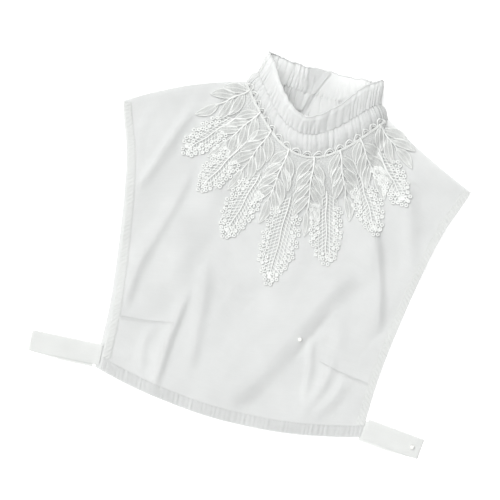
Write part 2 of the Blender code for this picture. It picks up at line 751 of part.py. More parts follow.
def make_lace_border(tree):
    """The scalloped edging along the neckline."""
    count = BORDER_SCALLOPS * SCALLOP_SAMPLES
    columns = []
    for c in range(count + 1):
        degrees = YOKE_END_DEG * (2.0 * c / count - 1.0)
        base = neck_radius(degrees) + BORDER_FROM_NECK
        arch = math.sin(math.pi * c / SCALLOP_SAMPLES) ** 2
        inner = lace_point(degrees, base + SCALLOP_DEPTH * (1.0 - arch))
        outer = lace_point(degrees, base + BORDER_WIDTH)
        columns.append([(inner.x, inner.y, LACE_WALL), (outer.x, outer.y, LACE_WALL)])
    laid_wall("lace_border", tree, columns, GUIPURE, LACE_CLEAR)


def tongue_width(tongue, share):
    """Half-width of a tongue from its root (0) to its tip (1), without the flowers' lobes."""
    bulge = ROOT_WIDTH + (1.0 - ROOT_WIDTH) * math.sin(math.pi * share)
    return (tongue.half - FLOWER_LOBE) * bulge * math.sqrt(max(1.0 - share**4, 0.0))


def make_lace_tongue(tongue, tree):
    """A tongue of the lace: its edge is lobed, and its upper side raised, at each flower and along the stem."""
    forward, side = lace_axes(tongue.angle)
    start = lace_point(tongue.angle, tongue.root)
    length = tongue.tip - tongue.root
    flowers = max(round(length / FLOWER_SPACING), FEWEST_FLOWERS)
    columns = []
    for across in (-1.0, -FLOWER_ROWS_ACROSS, 0.0, FLOWER_ROWS_ACROSS, 1.0):
        column = []
        for r in range(2 * flowers + 1):
            share = r / (2 * flowers)
            is_flower = r % 2
            half = max(tongue_width(tongue, share), STEM_HALF) + FLOWER_LOBE * is_flower
            if r == 0:
                degrees = tongue.angle + math.degrees(math.atan(half * across / tongue.root))
                at = lace_point(degrees, yoke_radius(degrees) + TONGUE_GAP)
            else:
                at = start + forward * length * share + side * half * across
            wall = LACE_WALL
            if across == 0.0:
                wall = STEM_DOME
            elif abs(across) < 1.0 and is_flower and share > DOMES_FROM:
                wall = FLOWER_DOME
            column.append((at.x, at.y, wall))
        columns.append(column)
    return laid_wall(tongue.name, tree, columns, GUIPURE, LACE_CLEAR)


def leaf_points(base, along, outer):
    """A pointed leaf's edge, up its outer side and back down its inner one."""
    points = [base + along * LEAF_LENGTH * s + outer * LEAF_HALF * w for s, w in LEAF_STATIONS]
    points.append(base + along * LEAF_LENGTH)
    points += [base + along * LEAF_LENGTH * s - outer * LEAF_HALF * w for s, w in reversed(LEAF_STATIONS)]
    return points


def spray_outline(spray, tree):
    """One outline round a spray: up one side of the stem, round the tip leaf and down the other side."""
    forward, side = lace_axes(spray.angle)
    root = neck_radius(spray.angle) + BORDER_FROM_NECK + BORDER_WIDTH + SPRAY_FROM_BORDER
    stem_length = spray.tip - LEAF_LENGTH - root
    pairs = int((stem_length - LEAF_STAGGER - LEAF_TOP_GAP) / LEAF_SPACING) + 1
    splay = math.radians(LEAF_SPLAY_DEG)
    top = lace_point(spray.angle, spray.tip - LEAF_LENGTH)
    halves = []
    for sign in (1.0, -1.0):
        across = side * sign
        edge = [lace_point(spray.angle, root) + across * STEM_HALF]
        for k in range(pairs):
            distance = FIRST_LEAF + LEAF_SPACING * k + (LEAF_STAGGER if sign > 0.0 else 0.0)
            base = lace_point(spray.angle, root + distance) + across * STEM_HALF
            along = forward * math.cos(splay) + across * math.sin(splay)
            outer = across * math.cos(splay) - forward * math.sin(splay)
            tip = base + along * (LEAF_LENGTH + LEAF_PAST_TIP)
            if surface_z(tree, tip.x, tip.y, None) is None:
                continue
            edge.append(base - forward * STEM_HALF - across * STEM_NOTCH)
            edge += leaf_points(base, along, outer)
            edge.append(base + forward * STEM_HALF + across * STEM_NOTCH)
        edge.append(top + across * (STEM_HALF - STEM_NOTCH))
        halves.append(edge)
    tip_leaf = leaf_points(top, forward, side)
    return halves[0] + tip_leaf + halves[1][::-1]


def triangles_in(outline):
    """Triangles that fill a flat outline, as indices of its points."""
    shape = bmesh.new()
    corners = [shape.verts.new((p.x, p.y, 0.0)) for p in outline]
    shape.verts.index_update()
    bmesh.ops.triangulate(shape, faces=[shape.faces.new(corners)])
    triangles = [tuple(v.index for v in face.verts) for face in shape.faces]
    shape.free()
    return triangles


def make_leaf_spray(spray, tree):
    outline = spray_outline(spray, tree)
    count = len(outline)
    faces = triangles_in(outline)
    heights = settle([(p.x, p.y) for p in outline], faces, tree, SPRAY_CLEAR)
    points = [(p.x, p.y, z) for p, z in zip(outline, heights)]
    points += [(p.x, p.y, z + LACE_WALL) for p, z in zip(outline, heights)]
    faces = [face[::-1] for face in faces] + [tuple(count + k for k in face) for face in faces]
    faces += [(k, (k + 1) % count, count + (k + 1) % count, count + k) for k in range(count)]
    add_object(spray.name, points, faces, GUIPURE)


def build():
    for obj in list(bpy.data.objects):
        bpy.data.objects.remove(obj)
    make_back_panel()
    front, plan = make_front_panel()
    front_tree = tree_of(front)
    make_collar()
    make_closing_tab()
    make_bindings(plan, front_tree)
    for loop in LOOPS:
        make_side_loop(loop)
    make_lace_border(front_tree)
    laid = [front, make_lace_yoke(front_tree)]
    laid += [make_lace_tongue(tongue, front_tree) for tongue in TONGUES]
    for spray in SPRAYS:
        make_leaf_spray(spray, tree_of(*laid))
    make_button("front_button", FRONT_BUTTON, highest_under_button(front_tree, FRONT_BUTTON) + TRIM_CLEAR)
    make_button("loop_button", LOOP_BUTTON, FRONT_REST + WALL + TRIM_CLEAR)


build()
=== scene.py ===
"""The looks of a white voile false collar, laid flat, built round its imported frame.

Axes: +X to the viewer's right, +Y from the hem towards the collar, +Z up from the surface it lies on.
Lengths in the tables and formulas are in millimetres and become metres where a mesh is made.
"""

import math
import random
from collections import namedtuple

import bpy
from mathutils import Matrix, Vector, noise
from mathutils.bvhtree import BVHTree


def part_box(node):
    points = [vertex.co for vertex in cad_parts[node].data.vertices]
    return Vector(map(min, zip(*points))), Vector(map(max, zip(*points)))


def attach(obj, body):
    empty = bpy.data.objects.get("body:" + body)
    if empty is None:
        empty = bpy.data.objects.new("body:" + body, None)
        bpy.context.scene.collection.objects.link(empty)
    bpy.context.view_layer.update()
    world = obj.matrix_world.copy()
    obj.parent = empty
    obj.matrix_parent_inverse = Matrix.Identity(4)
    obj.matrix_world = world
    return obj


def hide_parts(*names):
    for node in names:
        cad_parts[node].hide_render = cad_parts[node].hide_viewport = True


bl_info = {
    "name": "White voile false collar",
    "version": (1, 0, 0),
    "blender": (4, 5, 0),
    "location": "3D View > Sidebar > False Collar",
    "description": "A dickey with a gathered stand collar and a guipure lace front, laid flat",
    "category": "Object",
}

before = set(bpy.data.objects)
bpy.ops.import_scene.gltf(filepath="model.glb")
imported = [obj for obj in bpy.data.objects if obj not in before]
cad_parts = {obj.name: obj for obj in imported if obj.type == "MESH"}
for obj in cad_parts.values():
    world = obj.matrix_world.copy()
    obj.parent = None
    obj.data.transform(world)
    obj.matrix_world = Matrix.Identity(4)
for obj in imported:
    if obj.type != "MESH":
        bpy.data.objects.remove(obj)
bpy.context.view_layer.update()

METRES_PER_MM = 0.001
UP = Vector((0.0, 0.0, 1.0))

# Walls of the solids that the cloth lies on
WALL = 1.0
SEAM_GAP = 0.3
FRONT_REST = WALL + SEAM_GAP
SHELL = 0.6
CLOTH_EDGE_ANGLE = math.radians(50.0)

# Panel outline: half-width at each height, ends of hem and shoulders, and the shift in x of both ends
Width = namedtuple("Width", "y half")
PANEL_WIDTHS = (
    Width(-124.0, 136.5),
    Width(-60.0, 139.0),
    Width(0.0, 146.5),
    Width(60.0, 156.5),
    Width(100.0, 166.0),
    Width(130.0, 177.0),
    Width(145.0, 182.0),
)
PANEL_CENTRE_X = -6.0
HEM_CORNER_Y = -124.0
HEM_SAG = 19.0
SHOULDER_TIP_Y = 145.0
SHOULDER_BOW_LEFT = 6.0
SHOULDER_BOW_RIGHT = -2.5
FRONT_SHIFT = (0.0, 0.0)
BACK_SHIFT = (-6.0, -1.5)
SHOULDER_SHARE = 8.0 / 36.0
NECK_SHARE = 1.0 - 2.0 * SHOULDER_SHARE
RISE_REACH = 95.0

# Folds of the front: crest as (y, x) from its lower end up, reach to the left and to the right, height
Fold = namedtuple("Fold", "crest left right height")
FRONT_FOLDS = (
    Fold(((65, -152), (87, -144), (119, -133), (153, -121)), 5.0, 7.0, 3.6),
    Fold(((90, -160), (119, -164), (141, -160)), 5.0, 6.0, 1.4),
    Fold(((-52, -135), (-11, -132), (21, -123), (55, -113), (88, -106)), 12.0, 5.5, 3.3),
    Fold(((-28, -90), (12, -99), (53, -103)), 15.0, 20.0, 3.2),
    Fold(((-125, -85), (-79, -83), (-55, -80), (-33, -78)), 8.0, 4.5, 3.7),
    Fold(((-111, -104), (-87, -106), (-69, -101)), 7.0, 5.0, 1.8),
    Fold(((-99, -55), (-61, -58), (-31, -60), (2, -65)), 8.0, 7.0, 2.6),
    Fold(((-121, -5), (-83, 17), (-32, 39), (10, 61), (30, 74)), 38.0, 13.0, 5.6),
    Fold(((-61, 48), (-38, 57), (-13, 69)), 4.5, 5.0, -1.6),
    Fold(((-11, 118), (19, 112), (54, 101), (90, 87)), 19.0, 5.5, 4.3),
    Fold(((57, 136), (94, 126), (135, 110)), 9.0, 9.0, 3.0),
    Fold(((-99, 65), (-72, 63), (-44, 57)), 4.5, 5.0, 2.0),
    Fold(((-110, 70), (-84, 80), (-60, 83)), 6.5, 5.5, 2.5),
    Fold(((-113, 81), (-91, 94), (-70, 101)), 6.0, 8.0, 2.5),
    Fold(((-53, 80), (-35, 84), (-13, 80)), 9.0, 8.0, 1.7),
)
FOLD_FADE = 16.0

# Loose cloth between the folds: its mean height, its broad and its small unevenness, and its lowest point
LOOSE_MEAN, LOOSE_BROAD, LOOSE_SMALL = 0.6, 2.6, 0.22
LOOSE_SLANT = 0.35
LOOSE_LOWEST = -0.4

# Side darts of the front, from the armhole edge inwards
Dart = namedtuple("Dart", "name x0 y0 x1 y1 depth")
DARTS = (
    Dart("dart_left", -136.0, -66.5, -82.0, -60.0, 3.0),
    Dart("dart_right", 127.0, -69.5, 73.0, -61.0, 3.0),
)
DART_POINT, DART_BOW = 0.35, -1.2
DART_LIFT, DART_CROWN = 0.04, 0.12

# Rings of the collar: half-width, then place of the front, the sides and the back. The front leans in x
Ring = namedtuple("Ring", "x lean half y_front y_side y_back bend_front bend_back z_front z_side z_back")
NECK_RING = Ring(1.0, 0.0, 73.0, 138.8, 195.5, 178.0, 2.4, 2.0, 17.0, 2.0, 0.65)
FRILL_RING = Ring(0.5, -5.0, 64.2, 157.9, 206.8, 200.0, 2.7, 2.0, 29.0, 15.0, 1.25)
EDGE_RING = Ring(1.5, -8.0, 59.7, 173.3, 228.0, 226.0, 3.3, 2.0, 48.0, 32.0, 2.3)
RISE_POWER_BACK = 0.7

# The collar strip, open at the back: where its foot, its seam and its free edge end, and its cut in metres
STRIP_START_DEG = -106.0
STRIP_ENDS_DEG = (262.0, 266.5, 276.0)
STRIP_CUT = 0.42
STEP_ALONG, STEP_UP = 0.004, 0.1

# Lap at the back: where and how far the upper end rises, and where the gathers of both ends are flattened
LIFT_FROM_DEG, LIFT_TO_DEG = 236.0, 250.0
OVERLAP_LIFT = 1.7
UNDER_LAP_DEG, UNDER_LAP_FADE_DEG = 22.0, 16.0
LAP_CREASE, LAP_CREST = 0.5, -0.25
END_FADE_DEG = 7.0
END_RELIEF = -0.5

# Gathers: number of creases and of flutes, depth of each on the stand and the frill, and the deepest of all
CREASES, FLUTES = 84, 30
STAND_FINE, STAND_BROAD, STAND_PUFF = 1.5, 2.2, 2.8
FRILL_FINE, FRILL_BROAD, FRILL_BROAD_AT_BACK = 1.8, 1.9, 1.6
STAND_DEEPEST, FRILL_DEEPEST = -2.8, -3.2
BACK_DEPTH = 1.5
LEFT_PULL = 0.9
PULL_FROM_DEG, PULL_TO_DEG, PULL_FADE_DEG = 115.0, 220.0, 30.0

# Edges of the strip: the stand's foot, the free edge and its rolled hem, and heights kept over the floor
FOOT_FLARE = 1.5
EDGE_WAVE = 2.4
HEM_ROLL = 0.8
FLOOR_CLEARANCE = 0.05
HEM_ABOVE_FLOOR = 1.5
STITCH_ABOVE_FLOOR = 0.55

# Tab on the stand's lap: corner, size, slant, height beside the stand and over it, crown, curled corner
TAB_X, TAB_Y = -29.0, 181.0
TAB_WIDTH, TAB_DEPTH = 22.0, 17.5
TAB_SLANT = 4.0
TAB_BESIDE = 2.7
TAB_LIFT, TAB_CROWN, TAB_CURL = 0.75, 0.35, 1.6

# Turned hems: width, height and crown, depth and reach of the rolled fold, dip of the inner edge
Turned = namedtuple("Turned", "width lift crown roll roll_reach flush")
ARMHOLE_HEM = Turned(8.5, 0.3, 0.14, 0.15, 0.12, 0.26)
BOTTOM_HEM = Turned(12.0, 0.28, 0.1, 0.12, 0.1, 0.24)
HEM_LOWEST = 0.18
RIPPLE_WAVE = 0.8
HEM_SHELL = 0.0003

# Stitches: distance, length and radius of each
DART_STITCH = (2.2, 1.9, 0.24)
ARMHOLE_STITCH = (2.7, 2.1, 0.22)
HEM_STITCH = (2.5, 1.9, 0.2)
FRILL_STITCH = (2.4, 1.8, 0.2)
LOOP_STITCH = (2.7, 2.0, 0.2)

# Lace: polar layout about a point above the neck, angles from straight down
LACE_CENTRE_Y = 240.0
YOKE_END_DEG = 57.0
YOKE_END_RADIUS = 116.0
BORDER_SCALLOPS = 18
BORDER_WIDTH = 5.0
BORDER_FROM_NECK = -4.2
BAND_GAP = 1.2
ARCH_WIDTH, INNER_ARCH = 0.94, 0.62
NET_FROM_RADIUS = 84.0
NET_ROW, NET_SWING = 0.86, 0.36

# Flower tongues: direction, radius where they leave the yoke, radius of the tip, half-width
Tongue = namedtuple("Tongue", "name angle root tip half")
TONGUES = (
    Tongue("lace_tongue_1", -41.8, 126.0, 177.0, 15.5),
    Tongue("lace_tongue_2", -29.3, 138.0, 189.0, 15.5),
    Tongue("lace_tongue_3", -15.2, 150.0, 212.0, 18.0),
    Tongue("lace_tongue_4", 0.0, 160.0, 240.0, 19.5),
    Tongue("lace_tongue_5", 14.4, 150.0, 212.0, 18.0),
    Tongue("lace_tongue_6", 30.2, 137.0, 189.0, 15.5),
    Tongue("lace_tongue_7", 42.8, 123.0, 172.0, 15.5),
)
FLOWER_LOBE = 2.6
FLOWER_PITCH = 12.4
FLOWER_INSET = 2.4
FLOWER_LAST = 0.95
FIVE_PETAL_SHARE = 0.8
TIP_FLOWER_INSET = 5.6
PETAL_REACH = 3.9
PETAL_RING = 1.5
PETAL_THREAD = 0.8
LATTICE_PITCH = 3.7
LATTICE_THREAD = 0.54
LATTICE_SLANT = 0.7
LATTICE_FROM, LATTICE_BEFORE_TIP = 2.0, 9.0
LATTICE_ABOVE_SHARE = 0.62
STEM_ABOVE = 14.0
STEM_SWAY = 0.6

# Leaf sprays raised on the ground: direction and radius of the tip leaf's point
Spray = namedtuple("Spray", "name angle tip")
SPRAYS = (
    Spray("leaf_spray_1", -52.0, 146.0),
    Spray("leaf_spray_2", -35.5, 158.0),
    Spray("leaf_spray_3", -22.3, 168.0),
    Spray("leaf_spray_4", -7.7, 182.0),
    Spray("leaf_spray_5", 7.3, 183.0),
    Spray("leaf_spray_6", 22.3, 168.0),
    Spray("leaf_spray_7", 36.5, 156.0),
    Spray("leaf_spray_8", 52.0, 142.0),
)
LEAF_LENGTH = 26.0
LEAF_HALF_WIDTH = 4.5
LEAF_SPACING = 12.5
LEAF_STAGGER = 4.0
LEAF_SPLAY_DEG = 31.0
LEAF_SHARES = (1.0, 0.8, 0.6, 0.45)
LEAF_BEND = 0.08
WEB_THREAD = 0.24
WEB_OFFSETS = (-0.82, -0.62, -0.42, -0.21, 0.21, 0.42, 0.62, 0.82)
WEB_CROSSING = 1.5

# Heights of the lace's layers above the cloth
NET_HEIGHT = 1.25
FLOWER_HEIGHT = 1.85
LEAF_HEIGHT = 2.3

# Side loops: a tape folded on itself beyond each hem corner
LOOP_WIDTH = 21.0
Loop = namedtuple("Loop", "name x0 y0 x1 y1 lower_slip tuck")
LOOPS = (
    Loop("side_loop_left", -145.5, -110.5, -219.0, -114.0, 3.0, 6.5),
    Loop("side_loop_right", 133.5, -115.0, 193.5, -121.0, -3.0, -3.25),
)
LOOP_WAVE, LOOP_REST = 0.5, 0.15

# Buttons: places, height of the middle over the seat, flatness below, depth and reach of the dimple
BUTTONS = {"front_button": (46.0, -44.0), "loop_button": (184.0, -121.0)}
BUTTON_LIFT = 0.9
BUTTON_FLAT = 0.35
DIMPLE_DEPTH, DIMPLE_REACH = 0.12, 0.35

# Photograph: its frame's side on the surface, its middle, and how far the garment is turned in it
FRAME_SIDE = 508.5
FRAME_CENTRE = (-26.0, 31.0)
FRAME_TURN_DEG = 14.7
SENSOR_MM = 36.0

# Lights: the setting of their strength, their side anticlockwise from the picture's right, their rise
Sun = namedtuple("Sun", "setting side_deg rise_deg")
SUNS = (Sun("window", 130.0, 57.0), Sun("side", 224.0, 48.0), Sun("top", 90.0, 84.0))
LIGHT_CODE, ROOM_CODE = "#FEFFFF", "#FEFEFE"
FLOOR_SIDE, FLOOR_DROP = 6.0, 0.0003


def linear(code):
    """Linear values of an sRGB hex colour."""
    parts = [int(code[k : k + 2], 16) / 255 for k in (1, 3, 5)]
    return tuple(p / 12.92 if p <= 0.04045 else ((p + 0.055) / 1.055) ** 2.4 for p in parts)


# Settings that a user would change
def colour_setting(name, description, code):
    return bpy.props.FloatVectorProperty(
        name=name, description=description, subtype="COLOR", size=3, min=0.0, max=1.0, default=linear(code)
    )


def number_setting(name, description, low, high, value, unit="NONE"):
    limits = {"min": low, "max": high, "default": value}
    return bpy.props.FloatProperty(name=name, description=description, unit=unit, **limits)


class ClothSettings(bpy.types.PropertyGroup):
    voile: colour_setting("Voile", "Colour of the panels, the stand, the frill and the tab", "#D5D6D5")
    tape: colour_setting("Tape", "Colour of the armhole hems and the side loops", "#D6D7D5")
    thickness: number_setting(
        "Thickness", "Thickness of one layer of cloth", 0.0002, 0.001, SHELL * METRES_PER_MM, "LENGTH"
    )
    folds: number_setting("Folds", "Height of the front's folds, as a share of the solid's", 0.0, 1.5, 1.1)


class LaceSettings(bpy.types.PropertyGroup):
    thread: colour_setting("Lace thread", "Colour of the lace thread", "#E6E7E5")
    cord: number_setting("Cord", "Radius of the cord of leaves and arches", 0.0003, 0.001, 0.00058, "LENGTH")
    net: number_setting("Net", "Radius of the thread of the net ground", 0.0001, 0.0006, 0.00036, "LENGTH")
    mesh: number_setting("Mesh", "Width of one hole with its thread", 0.0015, 0.005, 0.0034, "LENGTH")


class ButtonSettings(bpy.types.PropertyGroup):
    pearl: colour_setting("Pearl", "Colour of the pearl buttons", "#F0F0EC")
    radius: number_setting("Radius", "Radius of a button", 0.001, 0.006, 0.0024, "LENGTH")


class StageSettings(bpy.types.PropertyGroup):
    floor: colour_setting("Floor", "Colour of the floor", "#FAFAFA")
    window: number_setting("Window light", "Soft light from the picture's upper left", 0.0, 20.0, 1.65)
    side: number_setting("Side light", "Soft light from the picture's lower left", 0.0, 20.0, 0.65)
    top: number_setting("Top light", "Soft light from almost straight above", 0.0, 20.0, 1.7)
    spread: number_setting("Light spread", "Width of each light in degrees", 0.0, 90.0, 28.0)
    fill: number_setting("Fill light", "Strength of the even light from all round", 0.0, 3.0, 0.22)
    height: number_setting("Camera height", "Height of the camera above the surface", 0.8, 5.0, 2.2, "LENGTH")


# Materials
def add_node(tree, kind, settings, inputs):
    """Adds a node with its settings, and gives each input a value or a link from another node's output."""
    node = tree.nodes.new(kind)
    for name, value in settings.items():
        setattr(node, name, value)
    for name, value in inputs.items():
        if isinstance(value, bpy.types.NodeSocket):
            tree.links.new(value, node.inputs[name])
        else:
            node.inputs[name].default_value = value
    return node


def new_material(name):
    """A new material, its node tree and the coordinates of the object in it."""
    material = bpy.data.materials.new(name)
    material.use_nodes = True
    tree = material.node_tree
    tree.nodes.clear()
    return material, tree, add_node(tree, "ShaderNodeTexCoord", {}, {}).outputs["Object"]


def cloudy(tree, place, scale, detail):
    """A noise texture's value."""
    values = {"Vector": place, "Scale": scale, "Detail": detail}
    return add_node(tree, "ShaderNodeTexNoise", {}, values).outputs["Fac"]


def two_tones(tree, share, colour, dark, light):
    """Mixes a darker and a lighter tone of a colour."""
    tones = {k: (*(c * tone for c in colour), 1.0) for k, tone in ((6, dark), (7, light))}
    return add_node(tree, "ShaderNodeMix", {"data_type": "RGBA"}, {0: share, **tones}).outputs[2]


def bumped(tree, height, strength, distance, normal=None):
    """Normals of a small relief, on those of a broader one where that is given."""
    values = {"Height": height, "Strength": strength, "Distance": distance}
    if normal is not None:
        values["Normal"] = normal
    return add_node(tree, "ShaderNodeBump", {}, values).outputs["Normal"]


def finish_material(material, values):
    """Links a shader with these values to the material's output."""
    tree = material.node_tree
    shader = add_node(tree, "ShaderNodeBsdfPrincipled", {}, values)
    add_node(tree, "ShaderNodeOutputMaterial", {}, {"Surface": shader.outputs["BSDF"]})
    return material


def woven_material(name, colour, thread_mm, weave_depth, through):
    """Plain woven cotton. The UV map is in metres of cloth, so that the threads follow the cloth."""
    material, tree, place = new_material(name)
    uv = add_node(tree, "ShaderNodeUVMap", {}, {}).outputs["UV"]
    # A wave texture repeats every 1 / (20 / 2 pi) units at scale 1
    scale = 1.0 / (thread_mm * METRES_PER_MM) * math.pi / 10.0
    weave = []
    for direction in ("X", "Y"):
        settings = {"wave_type": "BANDS", "bands_direction": direction, "wave_profile": "SIN"}
        values = {"Vector": uv, "Scale": scale, "Distortion": 0.6, "Detail": 1.0}
        weave.append(add_node(tree, "ShaderNodeTexWave", settings, values).outputs["Fac"])
    crossed = add_node(tree, "ShaderNodeMath", {"operation": "MULTIPLY"}, {0: weave[0], 1: weave[1]})
    # Thick places in the threads are long and thin
    stretch = add_node(tree, "ShaderNodeMapping", {}, {"Vector": uv, "Scale": (9.0, 160.0, 1.0)})
    slub = cloudy(tree, stretch.outputs["Vector"], 4.0, 4.0)
    cloud = cloudy(tree, place, 26.0, 3.0)
    tone = add_node(tree, "ShaderNodeMath", {"operation": "MULTIPLY_ADD"}, {0: slub, 1: 0.25, 2: cloud})
    levels = {"From Min": 0.4, "From Max": 0.85, "To Min": 0.0, "To Max": 1.0}
    ramp = add_node(tree, "ShaderNodeMapRange", {}, {"Value": tone.outputs["Value"], **levels})
    crinkled = bumped(tree, cloudy(tree, place, 120.0, 3.0), 0.5, CRINKLE_DEPTH)
    slubbed = bumped(tree, slub, 0.4, SLUB_DEPTH, crinkled)
    values = {
        "Base Color": two_tones(tree, ramp.outputs["Result"], colour, 0.95, 1.03),
        "Roughness": 0.88, "Specular IOR Level": 0.25, "Sheen Weight": 0.1, "Sheen Roughness": 0.5,
        "Normal": bumped(tree, crossed.outputs["Value"], 0.5, weave_depth, slubbed),
        "Subsurface Weight": through, "Subsurface Radius": (1.0, 1.0, 1.0), "Subsurface Scale": 0.0025,
    }
    return finish_material(material, values)


def lace_material(name, colour):
    """Guipure: satin-stitched cotton thread, a little glossy where the stitches lie side by side."""
    material, tree, place = new_material(name)
    # Stitches lie about 0.3 mm apart; drawn at 0.6 mm so that they show
    stitch = cloudy(tree, place, 1700.0, 2.0)
    values = {
        "Base Color": two_tones(tree, cloudy(tree, place, 60.0, 2.0), colour, 0.93, 1.04),
        "Roughness": 0.55, "Specular IOR Level": 0.35, "Sheen Weight": 0.15, "Sheen Roughness": 0.4,
        "Normal": bumped(tree, stitch, 0.6, 0.00015),
    }
    return finish_material(material, values)


def pearl_material(name, colour):
    """Moulded pearl plastic: a smooth coat over a faintly clouded body."""
    material, tree, place = new_material(name)
    values = {
        "Base Color": two_tones(tree, cloudy(tree, place, 700.0, 2.0), colour, 0.92, 1.0),
        "Roughness": 0.2, "IOR": 1.53, "Coat Weight": 0.6, "Coat Roughness": 0.08,
    }
    return finish_material(material, values)


def floor_material(name, colour):
    """Opal acrylic of a light table: matt, white and lit a little from below."""
    material, tree, place = new_material(name)
    values = {
        "Base Color": (*colour, 1.0), "Roughness": 0.95, "Specular IOR Level": 0.1,
        "Emission Color": (1.0, 1.0, 1.0, 1.0), "Emission Strength": 0.22,
        "Normal": bumped(tree, cloudy(tree, place, 900.0, 2.0), 0.05, 0.0001),
    }
    return finish_material(material, values)


# Woven cloths: setting of the colour and its share, distance and depth of the threads, light let through
Weave = namedtuple("Weave", "colour share thread_mm depth through")
WEAVES = {
    # Fine combed cotton, thread 0.35 mm apart; drawn 0.8 mm apart so that it shows
    "voile_plain_weave": Weave("voile", 1.0, 0.8, 0.00004, 0.6),
    # The same voile standing as one layer, so that light passes through the collar's walls. Its colour is
    # painted 3% lighter than the panels' voile, as painted light on the shaded walls and inside of the collar
    "voile_gathered_single": Weave("voile", 1.03, 0.8, 0.00004, 1.0),
    # The same voile rolled into a dense cord, so that no light passes
    "voile_rolled_hem": Weave("voile", 1.0, 0.8, 0.00004, 0.0),
    # The same voile turned on itself, so that less light passes
    "voile_turned_double": Weave("voile", 1.0, 0.8, 0.00004, 0.5),
    # The tab's voile, doubled and pressed flat
    "voile_tab_doubled": Weave("voile", 1.0, 0.8, 0.00004, 0.4),
    # Cotton tape, a little coarser than the voile
    "cotton_tape_plain_weave": Weave("tape", 1.0, 0.9, 0.00005, 0.3),
}
CRINKLE_DEPTH = 0.0003
SLUB_DEPTH = 0.00008


def material_named(kind):
    """The material for one kind of piece, made the first time that it is asked for."""
    made = bpy.data.materials.get(kind)
    if made:
        return made
    scene = bpy.context.scene
    if kind in WEAVES:
        weave = WEAVES[kind]
        colour = [c * weave.share for c in getattr(scene.false_collar_cloth, weave.colour)]
        return woven_material(kind, colour, weave.thread_mm, weave.depth, weave.through)
    if kind == "guipure_satin_stitched_cotton":
        return lace_material(kind, scene.false_collar_lace.thread)
    if kind == "moulded_pearl_plastic":
        return pearl_material(kind, scene.false_collar_buttons.pearl)
    raise ValueError(f"no material {kind}")


VOILE = ("voile_plain_weave", "voile")
# The collar's voile, painted a little lighter than the panels' as painted light on its shaded walls and
# inside
GATHERED_VOILE = ("voile_gathered_single", "voile")
ROLLED_VOILE = ("voile_rolled_hem", "voile")
DOUBLE_VOILE = ("voile_turned_double", "voile")
TAPE = ("cotton_tape_plain_weave", "bias_tape")
TAB = ("voile_tab_doubled", "bias_tape")
GUIPURE = ("guipure_satin_stitched_cotton", "guipure_lace")
PEARL = ("moulded_pearl_plastic", "pearl")


# Mesh helpers
def take(obj):
    """Selects one object only and makes it active."""
    bpy.ops.object.select_all(action="DESELECT")
    obj.select_set(True)
    bpy.context.view_layer.objects.active = obj


def apply_modifiers(obj):
    take(obj)
    for modifier in list(obj.modifiers):
        bpy.ops.object.modifier_apply(modifier=modifier.name)


def finish_piece(obj, finish, nodes=()):
    """Gives a piece its material, lets it ride with the garment and stand for the solids named."""
    kind, slot = finish
    obj.data.materials.clear()
    obj.data.materials.append(material_named(kind))
    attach(obj, "root")
    if nodes:
        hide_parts(*nodes)
    return obj


def cloth_piece(name, cells, size, place, finish, nodes=(), thickness=None):
    """A thin shell of cloth: a grid whose points place(u, v) lays, then given its thickness."""
    bpy.ops.object.select_all(action="DESELECT")
    bpy.ops.mesh.primitive_grid_add(x_subdivisions=cells[0], y_subdivisions=cells[1], size=1.0)
    obj = bpy.context.object
    obj.name = obj.data.name = name
    for vertex in obj.data.vertices:
        vertex.co = place(vertex.co.x + 0.5, vertex.co.y + 0.5) * METRES_PER_MM
    for corner in obj.data.uv_layers.active.data:
        corner.uv = (corner.uv[0] * size[0], corner.uv[1] * size[1])
    shell = obj.modifiers.new("Thickness", "SOLIDIFY")
    shell.thickness = thickness or bpy.context.scene.false_collar_cloth.thickness
    shell.offset = 0.0
    apply_modifiers(obj)
    bpy.ops.object.shade_smooth_by_angle(angle=CLOTH_EDGE_ANGLE)
    return finish_piece(obj, finish, nodes)


# A run of thread: its radius is one number or one a point
Run = namedtuple("Run", "points radius closed", defaults=(False,))


def thread_mesh(name, runs, resolution):
    """Round thread along each run of points, as one mesh."""
    curve = bpy.data.curves.new(name, "CURVE")
    curve.dimensions = "3D"
    curve.twist_mode = "Z_UP"
    curve.bevel_depth = METRES_PER_MM
    curve.bevel_resolution = resolution
    curve.use_fill_caps = True
    for run in runs:
        spline = curve.splines.new("POLY")
        spline.points.add(len(run.points) - 1)
        spline.points.foreach_set("co", [c for p in run.points for c in (*(p * METRES_PER_MM), 1.0)])
        radii = run.radius if hasattr(run.radius, "__len__") else [run.radius] * len(run.points)
        spline.points.foreach_set("radius", radii)
        spline.use_cyclic_u = run.closed
    obj = bpy.data.objects.new(name, curve)
    bpy.context.scene.collection.objects.link(obj)
    take(obj)
    bpy.ops.object.convert(target="MESH")
    return bpy.context.object


def thread_piece(name, fine, thick, finish, nodes=()):
    """One piece of thread: fine runs with four sides and thick ones with six."""
    parts = [thread_mesh(f"{name}_{k}", runs, k) for k, runs in enumerate((fine, thick)) if runs]
    take(parts[-1])
    for part in parts:
        part.select_set(True)
    if len(parts) > 1:
        bpy.ops.object.join()
    obj = bpy.context.object
    obj.name = obj.data.name = name
    return finish_piece(obj, finish, nodes)


def tree_of(*names):
    """The surfaces of the objects named as one, in millimetres, for laying pieces on them."""
    points, faces = [], []
    for mesh in (bpy.data.objects[name].data for name in names):
        start = len(points)
        points += [v.co / METRES_PER_MM for v in mesh.vertices]
        faces += [tuple(start + k for k in p.vertices) for p in mesh.polygons]
    return BVHTree.FromPolygons(points, faces)


def top_of(tree, x, y, missing=0.0):
    """Height of the first surface met from above."""
    hit = tree.ray_cast(Vector((x, y, 200.0)), -UP)[0]
    return hit.z if hit is not None else missing


